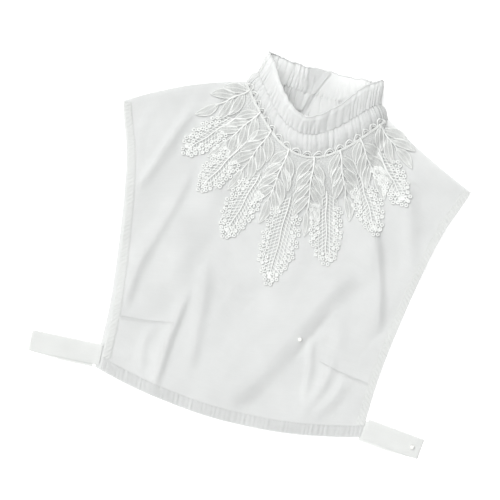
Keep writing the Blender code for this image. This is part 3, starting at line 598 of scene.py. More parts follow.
def laid(tree, points, height, radius, closed=False):
    """A run of thread this high above a surface. Past its edge, a point keeps the last one's height."""
    found, z = [], None
    for p in points:
        z = top_of(tree, p[0], p[1], z)
        found.append(z)
    first = next((z for z in found if z is not None), 0.0)
    heights = [(first if z is None else z) + height for z in found]
    return Run([Vector((p[0], p[1], z)) for p, z in zip(points, heights)], radius, closed)


def stitches(points, step, length, radius):
    """A line of stitches along a run of points: each bends down into the cloth at its ends."""
    runs, travelled, due = [], 0.0, 0.0
    for a, b in zip(points, points[1:]):
        span = (b - a).length
        while span > 0.0 and due < travelled + span:
            start = a.lerp(b, (due - travelled) / span)
            ahead = (b - a).normalized() * length
            ends = (start - UP * 0.25, start + ahead * 0.5 + UP * 0.05, start + ahead - UP * 0.25)
            runs.append(Run(ends, radius))
            due += step
        travelled += span
    return runs


# Formulas
def uneven(x, y, z):
    """Smooth noise about 0."""
    return noise.noise(Vector((x, y, z)))


def arc(share):
    """0 at both ends and 1 in the middle."""
    return math.sin(math.pi * share)


def clamp(value, low=0.0, high=1.0):
    return min(max(value, low), high)


def smooth(share):
    """0 before 0, 1 after 1, and an even curve between them."""
    share = clamp(share)
    return share * share * (3.0 - 2.0 * share)


def smooth_through(rows, at):
    """The value at this place on a smooth curve through rows of (place, value)."""
    at = clamp(at, rows[0][0], rows[-1][0])
    k = max(i for i in range(len(rows) - 1) if rows[i][0] <= at)
    before, low, high, after = rows[max(k - 1, 0)], rows[k], rows[k + 1], rows[min(k + 2, len(rows) - 1)]
    span = high[0] - low[0]
    share = (at - low[0]) / span
    slope_low = (high[1] - before[1]) / (high[0] - before[0]) * span
    slope_high = (after[1] - low[1]) / (after[0] - low[0]) * span
    cube, square = share**3, share**2
    ends = (2 * cube - 3 * square + 1) * low[1] + (3 * square - 2 * cube) * high[1]
    return ends + (cube - 2 * square + share) * slope_low + (cube - square) * slope_high


# Shapes shared with the solids
def half_width(y):
    return smooth_through(PANEL_WIDTHS, y)


def ring_point(ring, degrees):
    """A point of a collar ring: 0 is the right side, 90 the front, 180 the left side, 270 the back."""
    angle = math.radians(degrees)
    front, back = max(math.sin(angle), 0.0), max(-math.sin(angle), 0.0)
    y = ring.y_side + (ring.y_front - ring.y_side) * front**ring.bend_front
    y += (ring.y_back - ring.y_side) * back**ring.bend_back
    z = ring.z_side + (ring.z_front - ring.z_side) * front
    z += (ring.z_back - ring.z_side) * back**RISE_POWER_BACK
    return Vector((ring.x + ring.lean * front + ring.half * math.cos(angle), y, z))


def fold_height(x, y, fold):
    """A soft ridge, or a trough, that fades past both ends and to each side of its crest."""
    low, high = fold.crest[0][0], fold.crest[-1][0]
    inside = smooth((y - low + FOLD_FADE) / (2.0 * FOLD_FADE))
    inside *= smooth((high + FOLD_FADE - y) / (2.0 * FOLD_FADE))
    if inside == 0.0:
        return 0.0
    middle = smooth_through(fold.crest, y)
    slant = smooth_through(fold.crest, y + 4.0) - smooth_through(fold.crest, y - 4.0)
    distance = (x - middle) / math.hypot(1.0, slant / 8.0)
    reach = fold.left if distance < 0.0 else fold.right
    return fold.height * inside * math.exp(-((distance / reach) ** 2))


def panel_side(sign, v, shifts):
    y = HEM_CORNER_Y + (SHOULDER_TIP_Y - HEM_CORNER_Y) * v
    shift = shifts[0] + (shifts[1] - shifts[0]) * v
    return Vector((PANEL_CENTRE_X + shift + sign * half_width(y), y))


def panel_hem(u, shift):
    half = half_width(HEM_CORNER_Y)
    x = PANEL_CENTRE_X + shift + half * (2.0 * u - 1.0)
    return Vector((x, HEM_CORNER_Y - HEM_SAG * (1.0 - (2.0 * u - 1.0) ** 2)))


def neckline(share, from_deg, to_deg):
    """A point of the panel's neckline, outside the foot of the stand."""
    point = ring_point(NECK_RING, from_deg + (to_deg - from_deg) * share)
    centre = Vector((NECK_RING.x, NECK_RING.y_side, 0.0))
    inset = SEAM_GAP + WALL
    step = (point - centre).xy.normalized() * inset
    if point.y < NECK_RING.y_side - 1.0:
        step = Vector((step.x, -inset))
    return Vector((point.x + step.x, point.y + step.y, point.z))


def panel_top(u, shift, from_deg, to_deg):
    """The upper outline from the left shoulder tip, round the neckline, to the right shoulder tip."""
    if SHOULDER_SHARE < u < 1.0 - SHOULDER_SHARE:
        return neckline((u - SHOULDER_SHARE) / NECK_SHARE, from_deg, to_deg)
    left = u <= SHOULDER_SHARE
    share = (u if left else 1.0 - u) / SHOULDER_SHARE
    neck = neckline(0.0 if left else 1.0, from_deg, to_deg)
    tip_x = PANEL_CENTRE_X + shift + (-1.0 if left else 1.0) * half_width(SHOULDER_TIP_Y)
    bow = 4.0 * (SHOULDER_BOW_LEFT if left else SHOULDER_BOW_RIGHT) * share * (1.0 - share)
    return Vector((tip_x, SHOULDER_TIP_Y, 0.0)).lerp(neck, share) + Vector((0.0, bow, 0.0))


def panel_plan(u, v, top, shifts):
    """Plan point of a panel, blended from its four edges."""
    point = panel_hem(u, shifts[0]) * (1 - v) + top.xy * v
    for sign, share in ((-1, 1 - u), (1, u)):
        corner, tip = (panel_side(sign, end, shifts) for end in (0.0, 1.0))
        point += panel_side(sign, v, shifts) * share - corner * share * (1 - v) - tip * share * v
    return point


# Panels
def front_height(x, y):
    """The folds of the front and the small unevenness of cloth that lies loose."""
    folds = sum(fold_height(x, y, fold) for fold in FRONT_FOLDS)
    broad = uneven((x - LOOSE_SLANT * y) / 30.0, y / 80.0, 3.1)
    loose = LOOSE_MEAN + LOOSE_BROAD * broad + LOOSE_SMALL * uneven(x / 13.0, y / 17.0, 8.4)
    return folds * bpy.context.scene.false_collar_cloth.folds + loose


def front_point(u, v):
    top = panel_top(u, FRONT_SHIFT[1], 180.0, 0.0)
    plan = panel_plan(u, v, top, FRONT_SHIFT)
    share = min((plan - top.xy).length / RISE_REACH, 1.0)
    rise = max(top.z - FRONT_REST - WALL / 2, 0.0) * (1.0 + math.cos(math.pi * share)) / 2.0
    z = max(front_height(plan.x, plan.y), LOOSE_LOWEST)
    return Vector((plan.x, plan.y, FRONT_REST + WALL / 2 + rise + z))


def back_point(u, v):
    top = panel_top(u, BACK_SHIFT[1], 180.0, 360.0)
    plan = panel_plan(u, v, top, BACK_SHIFT)
    return Vector((plan.x, plan.y, SHELL / 2 + FLOOR_CLEARANCE))


def turned(hem, share, ripple):
    """Height of a turned hem over the cloth, from its fold (0) to its stitched edge (1)."""
    height = max(hem.lift + hem.crown * arc(share) + ripple, HEM_LOWEST)
    height -= hem.roll * (1.0 - min(share / hem.roll_reach, 1.0)) ** 2
    return height - hem.flush * smooth((share - 0.85) / 0.15)


def top_or_inside(tree, x, y, inner_x, inner_y):
    """Height of the front here or, past its edge, a little further in."""
    here = top_of(tree, x, y, None)
    return top_of(tree, inner_x, inner_y, FRONT_REST + WALL) if here is None else here


def dart_point(dart, tree):
    """The pressed fold of a dart: flush along its upper edge, free along its lower one."""
    start, end = Vector((dart.x0, dart.y0)), Vector((dart.x1, dart.y1))
    along = (end - start).normalized()
    down = Vector((along.y, -along.x)) if along.x > 0.0 else Vector((-along.y, along.x))

    def place(u, v):
        depth = dart.depth * (1.0 - u) ** 0.7 + DART_POINT
        plan = start.lerp(end, u) + down * depth * v
        y = plan.y + arc(u) * DART_BOW
        lift = DART_LIFT + DART_CROWN * arc(v)
        return Vector((plan.x, y, top_of(tree, plan.x, y, FRONT_REST) + lift))

    return place


# Collar
def lift_at(degrees):
    return OVERLAP_LIFT * smooth((degrees - LIFT_FROM_DEG) / (LIFT_TO_DEG - LIFT_FROM_DEG))


def back_share(degrees):
    """0 over the front and sides, 1 at the centre back, where the collar lies on the floor."""
    return smooth(-1.4 * math.sin(math.radians(degrees)))


def strip_end(strip, v):
    """Where the strip ends at this height, in degrees."""
    return strip.end_low + (strip.end_high - strip.end_low) * v


def collar_middle(strip, share, v):
    degrees = STRIP_START_DEG + (strip_end(strip, v) - STRIP_START_DEG) * share
    return degrees, ring_point(strip.low, degrees).lerp(ring_point(strip.high, degrees), v)


def collar_normal(strip, share, v):
    """Outward from the tube of the collar, square to a short step along it and one up it."""
    _, a = collar_middle(strip, share - STEP_ALONG, v)
    _, b = collar_middle(strip, share + STEP_ALONG, v)
    _, c = collar_middle(strip, share, v - STEP_UP)
    _, d = collar_middle(strip, share, v + STEP_UP)
    return (d - c).cross(b - a).normalized()


def seam_normal(degrees):
    """One direction for the stand and the frill where they are sewn together."""
    along = ring_point(FRILL_RING, degrees + 1.0) - ring_point(FRILL_RING, degrees - 1.0)
    up = ring_point(EDGE_RING, degrees) - ring_point(NECK_RING, degrees)
    return up.cross(along).normalized()


def gather(degrees, count, seed):
    """Gathers, uneven in width and depth: 0 on the round crests and down to -1 in the narrow creases."""
    a = math.radians(degrees)
    drift = uneven(a * 2.3, seed, 0.5) * 5.0 + uneven(a * 9.0, seed, 2.5) * 1.3
    depth = 0.62 + 0.75 * uneven(a * 6.1, seed, 7.5)
    return clamp(depth, 0.12) * (abs(math.sin(a * count / 2.0 + drift)) ** 0.75 - 1.0)


def edge_wave(degrees, v):
    """How far the frill's free edge wanders from an even line."""
    a = math.radians(degrees)
    wander = uneven(a * 4.0, 3.7, 0.0) + 0.5 * uneven(a * 13.0, 8.1, 0.0)
    return EDGE_WAVE * max(v, 0.0) ** 2 * wander


def collar_surface(strip, share, v):
    """A point of the stand or the frill with its gathers."""
    degrees, point = collar_middle(strip, share, v)
    to_seam = v if strip.high == FRILL_RING else 1.0 - v
    out = collar_normal(strip, share, v).lerp(seam_normal(degrees), smooth(to_seam * 2.0 - 1.0))
    at_end = smooth((strip_end(strip, v) - degrees) / END_FADE_DEG)
    height = END_RELIEF + (strip.relief(degrees, v) - END_RELIEF) * at_end
    point = point + out.normalized() * height + UP * lift_at(degrees)
    if strip.high == EDGE_RING:
        rise = (ring_point(EDGE_RING, degrees) - ring_point(FRILL_RING, degrees)).normalized()
        point = point + rise * edge_wave(degrees, v)
    point.z = max(point.z, SHELL / 2 + FLOOR_CLEARANCE + lift_at(degrees))
    return point


def folded(depth, degrees):
    """Gathers that go inwards at the front, and upwards at the back, where the collar lies on the floor."""
    back = back_share(degrees)
    under = 1.0 - smooth((degrees - STRIP_START_DEG - UNDER_LAP_DEG) / UNDER_LAP_FADE_DEG)
    over = lift_at(degrees) / OVERLAP_LIFT
    inside = -(1.0 + depth) * back * BACK_DEPTH
    # Where the ends lap, the creases of the upper one and the crests of the lower one are shallow
    inside += (min(inside, LAP_CREASE) - inside) * over
    inside += (max(inside, LAP_CREST) - inside) * under
    return depth * (1.0 - back) + inside


def pulled(degrees):
    """How much deeper the fine creases are on the left side, where the lap pulls the strip."""
    pull = LEFT_PULL * smooth((degrees - PULL_FROM_DEG) / PULL_FADE_DEG)
    return 1.0 + pull * smooth((PULL_TO_DEG - degrees) / PULL_FADE_DEG)


def stand_relief(degrees, v):
    """Puffed between its two seams, with creases that run from one to the other."""
    front = 1.0 - back_share(degrees)
    at_seams = abs(2.0 * v - 1.0) ** 1.5
    fine = gather(degrees + 1.2 * v, CREASES, 1.0) * (0.35 + 0.65 * at_seams) * STAND_FINE * pulled(degrees)
    broad = gather(degrees + 3.0 * (v - 0.5), CREASES / 2, 4.0)
    broad *= (0.6 + 0.4 * arc(v)) * STAND_BROAD
    puff = STAND_PUFF * arc(clamp(v)) ** 0.8
    foot = FOOT_FLARE * (1.0 - smooth(v / 0.16))
    return folded(max(fine + broad, STAND_DEEPEST), degrees) + (puff + foot) * front


def frill_relief(degrees, v):
    """Creases at the seam that open into broad soft flutes below the rolled-in edge."""
    up = max(v, 0.0)
    back = back_share(degrees)
    pull = pulled(degrees)
    fine = gather(degrees + 9.0 * up * (pull - 1.0), CREASES, 1.0) * (1.0 - up) ** 0.9 * FRILL_FINE * pull
    broad = gather(degrees + 5.0 * up, FLUTES, 9.0) * (0.35 + 0.65 * up)
    broad *= FRILL_BROAD + FRILL_BROAD_AT_BACK * back
    rolled = 0.9 * up - 1.2 * smooth((up - 0.8) / 0.2)
    at_seam = 0.45 * (1.0 - smooth(up * 5.0))
    return folded(max(fine + broad, FRILL_DEEPEST), degrees) + rolled * (1.0 - back) + at_seam


# The stand and the frill: lower and upper ring, where each ends, and the height of the gathers
Strip = namedtuple("Strip", "low high end_low end_high relief")
STAND = Strip(NECK_RING, FRILL_RING, *STRIP_ENDS_DEG[:2], stand_relief)
FRILL = Strip(FRILL_RING, EDGE_RING, *STRIP_ENDS_DEG[1:], frill_relief)


def frill_line(v, steps, out, lowest):
    """A run of points round the frill at one height, moved out from its surface."""
    line = []
    for k in range(steps + 1):
        share = k / steps
        point = collar_surface(FRILL, share, v) + collar_normal(FRILL, share, v) * out
        point.z = max(point.z, lowest)
        line.append(point)
    return line


# Lace layout
def lace_point(degrees, radius):
    angle = math.radians(degrees)
    return Vector((radius * math.sin(angle), LACE_CENTRE_Y - radius * math.cos(angle)))


def lace_axes(degrees):
    """Unit vectors outwards from the lace's centre and to the side of larger angles."""
    forward = lace_point(degrees, 1.0) - lace_point(degrees, 0.0)
    return forward, Vector((-forward.y, forward.x))


def neck_radius(degrees):
    """Radius of the neckline in the lace's polar layout, found by halving."""
    low, high = 180.0, 0.0
    for _ in range(24):
        middle = (low + high) / 2
        p = ring_point(NECK_RING, middle)
        if math.degrees(math.atan2(p.x, LACE_CENTRE_Y - p.y)) < degrees:
            low = middle
        else:
            high = middle
    p = ring_point(NECK_RING, (low + high) / 2)
    return math.hypot(p.x, LACE_CENTRE_Y - p.y) + SEAM_GAP + WALL


def border_radius(degrees, offset):
    """Radius in the border, this far from its edge on the stand."""
    return neck_radius(degrees) + BORDER_FROM_NECK + offset


def yoke_radius(degrees):
    """Outer radius of the lace ground, which steps down from the middle to the shoulders."""
    ends = [(side * YOKE_END_DEG, YOKE_END_RADIUS) for side in (-1.0, 1.0)]
    knots = [ends[0], *((t.angle, t.root) for t in TONGUES), ends[1]]
    degrees = clamp(degrees, -YOKE_END_DEG, YOKE_END_DEG)
    k = max(i for i in range(len(knots) - 1) if knots[i][0] <= degrees)
    share = (degrees - knots[k][0]) / (knots[k + 1][0] - knots[k][0])
    return knots[k][1] + (knots[k + 1][1] - knots[k][1]) * share


def net_runs(tree, cell, radius):
    """Zigzag threads that touch by turns, so that the ground is a net of small holes."""
    runs = []
    rows = int((max(t.root for t in TONGUES) - NET_FROM_RADIUS) / (cell * NET_ROW))
    for row in range(rows):
        middle_radius = NET_FROM_RADIUS + row * cell * NET_ROW
        step_deg = math.degrees(cell / 2.0 / middle_radius)
        last = int(2.0 * YOKE_END_DEG / step_deg)
        run = []
        for k in range(last + 1):
            degrees = -YOKE_END_DEG + k * step_deg
            at = middle_radius + cell * NET_SWING * (1.0 if (k + row) % 2 else -1.0)
            inside = border_radius(degrees, BORDER_WIDTH) < at < yoke_radius(degrees) + 0.5
            if inside:
                run.append(lace_point(degrees, at))
            if run and (not inside or k == last):
                if len(run) > 3:
                    runs.append(laid(tree, run, NET_HEIGHT + 0.04 * (row % 3), radius))
                run = []
    return runs


def border_runs(tree, cord):
    """The scalloped edging: open arches of cord on a band, which stand over the foot of the stand."""
    bands, arches = [], []
    steps = BORDER_SCALLOPS * 6
    angles = [YOKE_END_DEG * (2.0 * k / steps - 1.0) for k in range(steps + 1)]
    for offset, thickness in ((BORDER_WIDTH, 1.0), (BORDER_WIDTH + BAND_GAP, 0.8)):
        line = [lace_point(a, border_radius(a, offset)) for a in angles]
        bands.append(laid(tree, line, NET_HEIGHT + 0.5, cord * thickness))
    for k in range(BORDER_SCALLOPS):
        for scale, thickness in ((1.0, 1.2), (INNER_ARCH, 0.75)):
            arch = []
            for s in range(11):
                share = s / 10
                place = (k + 0.5 + (share - 0.5) * (ARCH_WIDTH * scale)) / BORDER_SCALLOPS
                a = YOKE_END_DEG * (2.0 * place - 1.0)
                rise = (BORDER_WIDTH + 0.4) * scale * arc(share) ** 0.7
                arch.append(lace_point(a, border_radius(a, BORDER_WIDTH + 0.4 - rise)))
            arches.append(laid(tree, arch, NET_HEIGHT + 0.6, cord * thickness))
    return bands, arches


def leaf_runs(tree, base, axis, side, length, half, cord, lift):
    """A leaf: a fine raised outline and midrib on a close web of threads along it and across it."""
    steps = 10
    bend = side * length * LEAF_BEND
    across = Vector((-axis.y, axis.x))

    def middle(share):
        return base + axis * length * share + bend * arc(share)

    def width(share):
        return half * arc(share**0.86) ** 0.8 if 0.0 < share < 1.0 else 0.0

    def along(offset, start, end, count):
        shares = [start + (end - start) * k / count for k in range(count + 1)]
        return [middle(s) + across * width(s) * offset for s in shares]

    edge = along(1.0, 0.0, 1.0, steps) + along(-1.0, 1.0, 0.0, steps)[1:-1]
    thick = [laid(tree, edge, lift + 0.1, cord * 0.82, True)]
    thick.append(laid(tree, along(0.0, 0.0, 0.97, 5), lift + 0.15, cord * 0.72))
    fine = []
    for offset in WEB_OFFSETS:
        reach = 0.25 * abs(offset)
        web = along(offset, 0.06 + reach * 0.5, 0.95 - reach, 5)
        fine.append(laid(tree, web, lift - 0.15, WEB_THREAD))
    crossings = int(length / WEB_CROSSING)
    for k in range(1, crossings):
        share = k / crossings
        ends = [middle(share) + across * width(share) * w for w in (-0.95, 0.0, 0.95)]
        fine.append(laid(tree, ends, lift - 0.3, WEB_THREAD * 0.8))
    return fine, thick


def stem_run(tree, angle, start, end, steps, swing, height, radii):
    """A stem along the lace's radius, from one distance to another, that sways a little and thins."""
    side = lace_axes(angle)[1]
    line, thickness = [], []
    for k in range(steps + 1):
        at = lace_point(angle, start + (end - start) * k / steps)
        line.append(at + side * STEM_SWAY * math.sin(k * swing))
        thickness.append(radii[0] + (radii[1] - radii[0]) * k / steps)
    return laid(tree, line, height, thickness)


def spray_runs(spray, tree, cord):
    """A spray: a stem with leaves by turns on both sides and one at the tip."""
    forward, side = lace_axes(spray.angle)
    root = border_radius(spray.angle, BORDER_WIDTH + BAND_GAP)
    stem_length = spray.tip - LEAF_LENGTH - root
    pairs = int((stem_length - LEAF_STAGGER - 6.0) / LEAF_SPACING) + 1
    sway = random.Random(spray.name)
    start, end = root - 1.0, root + stem_length + 3.0
    radii = (cord * 1.75, cord)
    fine, thick = [], [stem_run(tree, spray.angle, start, end, 8, 1.3, LEAF_HEIGHT + 0.3, radii)]
    top = lace_point(spray.angle, spray.tip - LEAF_LENGTH)
    leaves = [(top, 0.0, side, LEAF_LENGTH, LEAF_HALF_WIDTH)]
    for sign in (1.0, -1.0):
        for k in range(pairs):
            distance = 1.0 + LEAF_SPACING * k + (LEAF_STAGGER if sign > 0.0 else 0.0)
            base = lace_point(spray.angle, root + distance)
            splay = math.radians(LEAF_SPLAY_DEG + sway.uniform(-5.0, 5.0)) * sign
            length = LEAF_LENGTH + sway.uniform(-2.0, 3.0)
            leaves.append((base, splay, side * sign, length, LEAF_HALF_WIDTH + sway.uniform(-0.4, 0.4)))
    for number, (base, splay, outer, length, half) in enumerate(leaves):
        axis = forward * math.cos(splay) + side * math.sin(splay)
        # A leaf over the panel's edge is shorter, so that its tip lies on the cloth
        tips = [(share, base + axis * (length * share + 1.0)) for share in LEAF_SHARES]
        fitting = [share for share, tip in tips if top_of(tree, *tip, None) is not None]
        if fitting:
            lift = LEAF_HEIGHT + 0.07 * (number % 5)
            leaf = leaf_runs(tree, base, axis, outer, length * fitting[0], half, cord, lift)
            fine += leaf[0]
            thick += leaf[1]
    return fine, thick


def tongue_width(tongue, share):
    """Half-width of a tongue from its root (0) to its tip (1), without the flowers' lobes."""
    share = clamp(share)
    return (tongue.half - FLOWER_LOBE) * (0.78 + 0.22 * arc(share)) * (1.0 - share**4) ** 0.5


def flower_runs(tree, centre, turn, petals, size, lift):
    """A flower: a ring of thick thread for each petal, round a small raised eye."""
    runs = []
    reach = PETAL_REACH * size * (1.0 if petals == 5 else 1.12)
    for k in range(petals):
        direction = turn + 2.0 * math.pi * k / petals
        middle = centre + Vector((math.cos(direction), math.sin(direction))) * reach
        points = [
            middle + Vector((math.cos(direction + a), math.sin(direction + a) * 0.94)) * PETAL_RING * size
            for a in (2.0 * math.pi * s / 9 for s in range(9))
        ]
        runs.append(laid(tree, points, lift + 0.12 * (k % 2), PETAL_THREAD * size, True))
    eye = [centre + Vector((math.cos(a), math.sin(a))) * 0.6 * size for a in (0.0, 1.26, 2.51, 3.77, 5.03)]
    runs.append(laid(tree, eye, lift + 0.1, 0.6 * size, True))
    return runs


def tongue_runs(tongue, tree, cord):
    """A tongue: a stem, slanting bars with ties between them, and flowers along both edges and at the tip."""
    forward, side = lace_axes(tongue.angle)
    start = lace_point(tongue.angle, tongue.root)
    length = tongue.tip - tongue.root
    chance = random.Random(tongue.name)
    stem_ends = (tongue.root - STEM_ABOVE, tongue.tip - 7.0)
    radii = (cord * 1.6, cord * 1.1)
    thick = [stem_run(tree, tongue.angle, *stem_ends, 12, 1.1, FLOWER_HEIGHT + 0.35, radii)]
    for sign in (1.0, -1.0):
        lattice = []
        for k in range(int((length + STEM_ABOVE - LATTICE_BEFORE_TIP) / LATTICE_PITCH)):
            foot = -STEM_ABOVE + LATTICE_FROM + LATTICE_PITCH * k
            width = tongue.half * LATTICE_ABOVE_SHARE
            if foot > -6.0:
                width = tongue_width(tongue, (foot + 5.0) / length)
            bar = []
            for s in range(int(width / LATTICE_PITCH) + 1):
                out = LATTICE_PITCH * s
                bar.append(start + forward * (foot + out * LATTICE_SLANT) + side * sign * out)
            lattice.append(bar)
            if len(bar) > 1:
                thick.append(laid(tree, bar, NET_HEIGHT + 0.15, LATTICE_THREAD))
        for bar, following in zip(lattice, lattice[1:]):
            for s in range(1, min(len(bar), len(following))):
                tie = [bar[s], following[s]]
                thick.append(laid(tree, tie, NET_HEIGHT + 0.05, LATTICE_THREAD * 0.92))
    count = max(round(length / FLOWER_PITCH), 3)
    places = [(sign, (k + 0.5 + 0.14 * sign) / count) for sign in (1.0, -1.0) for k in range(count)]
    for sign, share in places:
        if share > FLOWER_LAST:
            continue
        out = tongue_width(tongue, share) - FLOWER_INSET + chance.uniform(-1.1, 1.1)
        centre = start + forward * (length - 6.0) * share + side * sign * max(out, 3.4)
        petals = 5 if chance.random() < FIVE_PETAL_SHARE else 6
        size = chance.uniform(0.94, 1.06)
        thick += flower_runs(tree, centre, chance.uniform(0.0, 6.28), petals, size, FLOWER_HEIGHT)
    tip = start + forward * (length - TIP_FLOWER_INSET)
    thick += flower_runs(tree, tip, chance.uniform(0.0, 6.28), 5, 1.0, FLOWER_HEIGHT)
    return thick


# Operators
class FALSECOLLAR_OT_stage(bpy.types.Operator):
    """Sets the white floor, the soft light and the camera above the garment"""

    bl_idname = "false_collar.stage"
    bl_label = "Stage"

    def execute(self, context):
        settings = context.scene.false_collar_stage
        bpy.ops.object.select_all(action="DESELECT")
        bpy.ops.mesh.primitive_plane_add(size=FLOOR_SIDE, location=(0.0, 0.0, -FLOOR_DROP))
        floor = context.object
        floor.name = "floor"
        floor.data.materials.append(floor_material("opal_acrylic_light_table", settings.floor))
        turn = math.radians(FRAME_TURN_DEG)
        middle = Vector((*FRAME_CENTRE, 0.0)) * METRES_PER_MM
        bpy.ops.object.camera_add(location=middle + UP * settings.height, rotation=(0.0, 0.0, turn))
        camera = context.object
        camera.name = "camera_from_above"
        camera.data.sensor_width = SENSOR_MM
        camera.data.lens = SENSOR_MM * settings.height / (FRAME_SIDE * METRES_PER_MM)
        context.scene.camera = camera
        for sun in SUNS:
            tilt, swing = 90.0 - sun.rise_deg, FRAME_TURN_DEG + sun.side_deg + 90.0
            aim = (math.radians(tilt), 0.0, math.radians(swing))
            bpy.ops.object.light_add(type="SUN", location=middle + UP, rotation=aim)
            light = context.object
            light.name = f"{sun.setting}_light"
            light.data.angle = math.radians(settings.spread)
            light.data.energy = getattr(settings, sun.setting)
            light.data.color = linear(LIGHT_CODE)
        world = bpy.data.worlds.new("even_white_room")
        world.use_nodes = True
        background = world.node_tree.nodes["Background"]
        background.inputs["Color"].default_value = (*linear(ROOM_CODE), 1.0)
        background.inputs["Strength"].default_value = settings.fill
        context.scene.world = world
        context.scene.view_settings.view_transform = "Standard"
        return {"FINISHED"}


class FALSECOLLAR_OT_panels(bpy.types.Operator):
    """Lays the back panel and the folded front panel of voile, with the front's side darts"""

    bl_idname = "false_collar.panels"
    bl_label = "Panels"

    def execute(self, context):
        back = cloth_piece("back_voile", (72, 56), (0.36, 0.31), back_point, VOILE, ["back_panel"])
        front = cloth_piece("front_voile", (184, 144), (0.36, 0.29), front_point, VOILE, ["front_panel"])
        tree = tree_of("front_voile")
        seams = []
        for dart in DARTS:
            place = dart_point(dart, tree)
            piece = cloth_piece(dart.name, (40, 6), (0.054, 0.003), place, DOUBLE_VOILE, (), HEM_SHELL)
            seams += stitches([place(k / 40, 0.1) + UP * 0.2 for k in range(41)], *DART_STITCH)
        thread_piece("dart_stitching", seams, [], DOUBLE_VOILE)
        return {"FINISHED"}


class FALSECOLLAR_OT_hems(bpy.types.Operator):
    """Turns and stitches the armhole hems and the crinkled bottom hem"""

    bl_idname = "false_collar.hems"
    bl_label = "Hems"

    def armhole(self, sign, tree):
        low = BOTTOM_HEM.width / (SHOULDER_TIP_Y - HEM_CORNER_Y)

        def place(u, v):
            edge = panel_side(sign, low + (1.0 - low) * v, FRONT_SHIFT)
            x, y = edge.x - sign * (ARMHOLE_HEM.width * u - 0.6), edge.y - 0.3
            slant = y + sign * x * 0.9
            ripple = math.sin(slant / RIPPLE_WAVE + 3.0 * uneven(y / 18.0, sign * 5.0, 0.0))
            ripple *= 0.6 * arc(min(u * 1.15, 1.0))
            ripple *= 0.55 + 0.8 * uneven(y / 15.0, 2.0, sign)
            base = top_or_inside(tree, x, y, x - sign * 1.6, y - 0.6)
            return Vector((x, y, base + turned(ARMHOLE_HEM, u, ripple)))

        return place

    def bottom(self, tree):
        def place(u, v):
            edge = panel_hem(u, FRONT_SHIFT[0])
            x, y = edge.x + (0.5 - u) * 0.8, edge.y - 0.5 + BOTTOM_HEM.width * v
            crinkle = math.sin(x / RIPPLE_WAVE + v * 0.9 + 4.5 * uneven(x / 11.0, 0.0, 1.0))
            crinkle *= 0.2 + 0.4 * uneven(x / 8.0, v * 0.5, 4.0)
            crinkle *= 0.3 + 0.7 * arc(min(v * 0.9 + 0.1, 1.0))
            base = top_or_inside(tree, x, y, x * 0.985, y + 1.6)
            return Vector((x, y, base + turned(BOTTOM_HEM, v, crinkle)))

        return place

    def execute(self, context):
        tree = tree_of("front_voile")
        seams = []
        for name, sign in (("left", -1.0), ("right", 1.0)):
            place = self.armhole(sign, tree)
            nodes, size = [f"armhole_binding_{name}"], (0.0085, 0.27)
            piece = cloth_piece(f"armhole_hem_{name}", (10, 300), size, place, TAPE, nodes, HEM_SHELL)
            seams += stitches([place(0.88, k / 180) + UP * 0.2 for k in range(181)], *ARMHOLE_STITCH)
        place = self.bottom(tree)
        nodes, size = ["hem_facing"], (0.273, 0.012)
        hem = cloth_piece("bottom_hem", (440, 10), size, place, DOUBLE_VOILE, nodes, HEM_SHELL)
        seams += stitches([place(k / 220, 0.9) + UP * 0.2 for k in range(221)], *HEM_STITCH)
        thread_piece("hem_stitching", seams, [], DOUBLE_VOILE)
        return {"FINISHED"}


class FALSECOLLAR_OT_collar(bpy.types.Operator):
    """Gathers the stand and its frill into an open tube, with the tab that closes it at the back"""

    bl_idname = "false_collar.collar"
    bl_label = "Stand collar"

    def tab_place(self):
        tree = tree_of("gathered_stand")

        def place(u, v):
            x = TAB_X + TAB_WIDTH * u + TAB_SLANT * (v - 1.0)
            y = TAB_Y + TAB_DEPTH * v
            from_edge = min(min(u, 1.0 - u) * TAB_WIDTH, min(v, 1.0 - v) * TAB_DEPTH)
            z = top_of(tree, x, y, TAB_BESIDE) + TAB_LIFT
            return Vector((x, y, z + TAB_CROWN * smooth(from_edge / 2.0) + TAB_CURL * u * (1.0 - v)))

        return place

    def execute(self, context):
        def stand(u, v):
            return collar_surface(STAND, u, v)

        def frill(u, v):
            return collar_surface(FRILL, u, -0.03 + 1.03 * v)

        flat = (STRIP_CUT, 0.025)
        piece = cloth_piece("gathered_stand", (720, 18), flat, stand, GATHERED_VOILE, ["neck_stand"])
        flat = (STRIP_CUT, 0.032)
        piece = cloth_piece("gathered_frill", (720, 22), flat, frill, GATHERED_VOILE, ["neck_frill"])
        hem = [Run(frill_line(1.0, 300, 0.0, HEM_ABOVE_FLOOR), HEM_ROLL)]
        seam = stitches(frill_line(0.02, 320, SHELL / 2 + 0.12, STITCH_ABOVE_FLOOR), *FRILL_STITCH)
        thread_piece("frill_rolled_hem", seam, hem, ROLLED_VOILE)
        piece = cloth_piece("back_tab", (26, 22), (0.022, 0.018), self.tab_place(), TAB, ["closing_tab"])
        return {"FINISHED"}


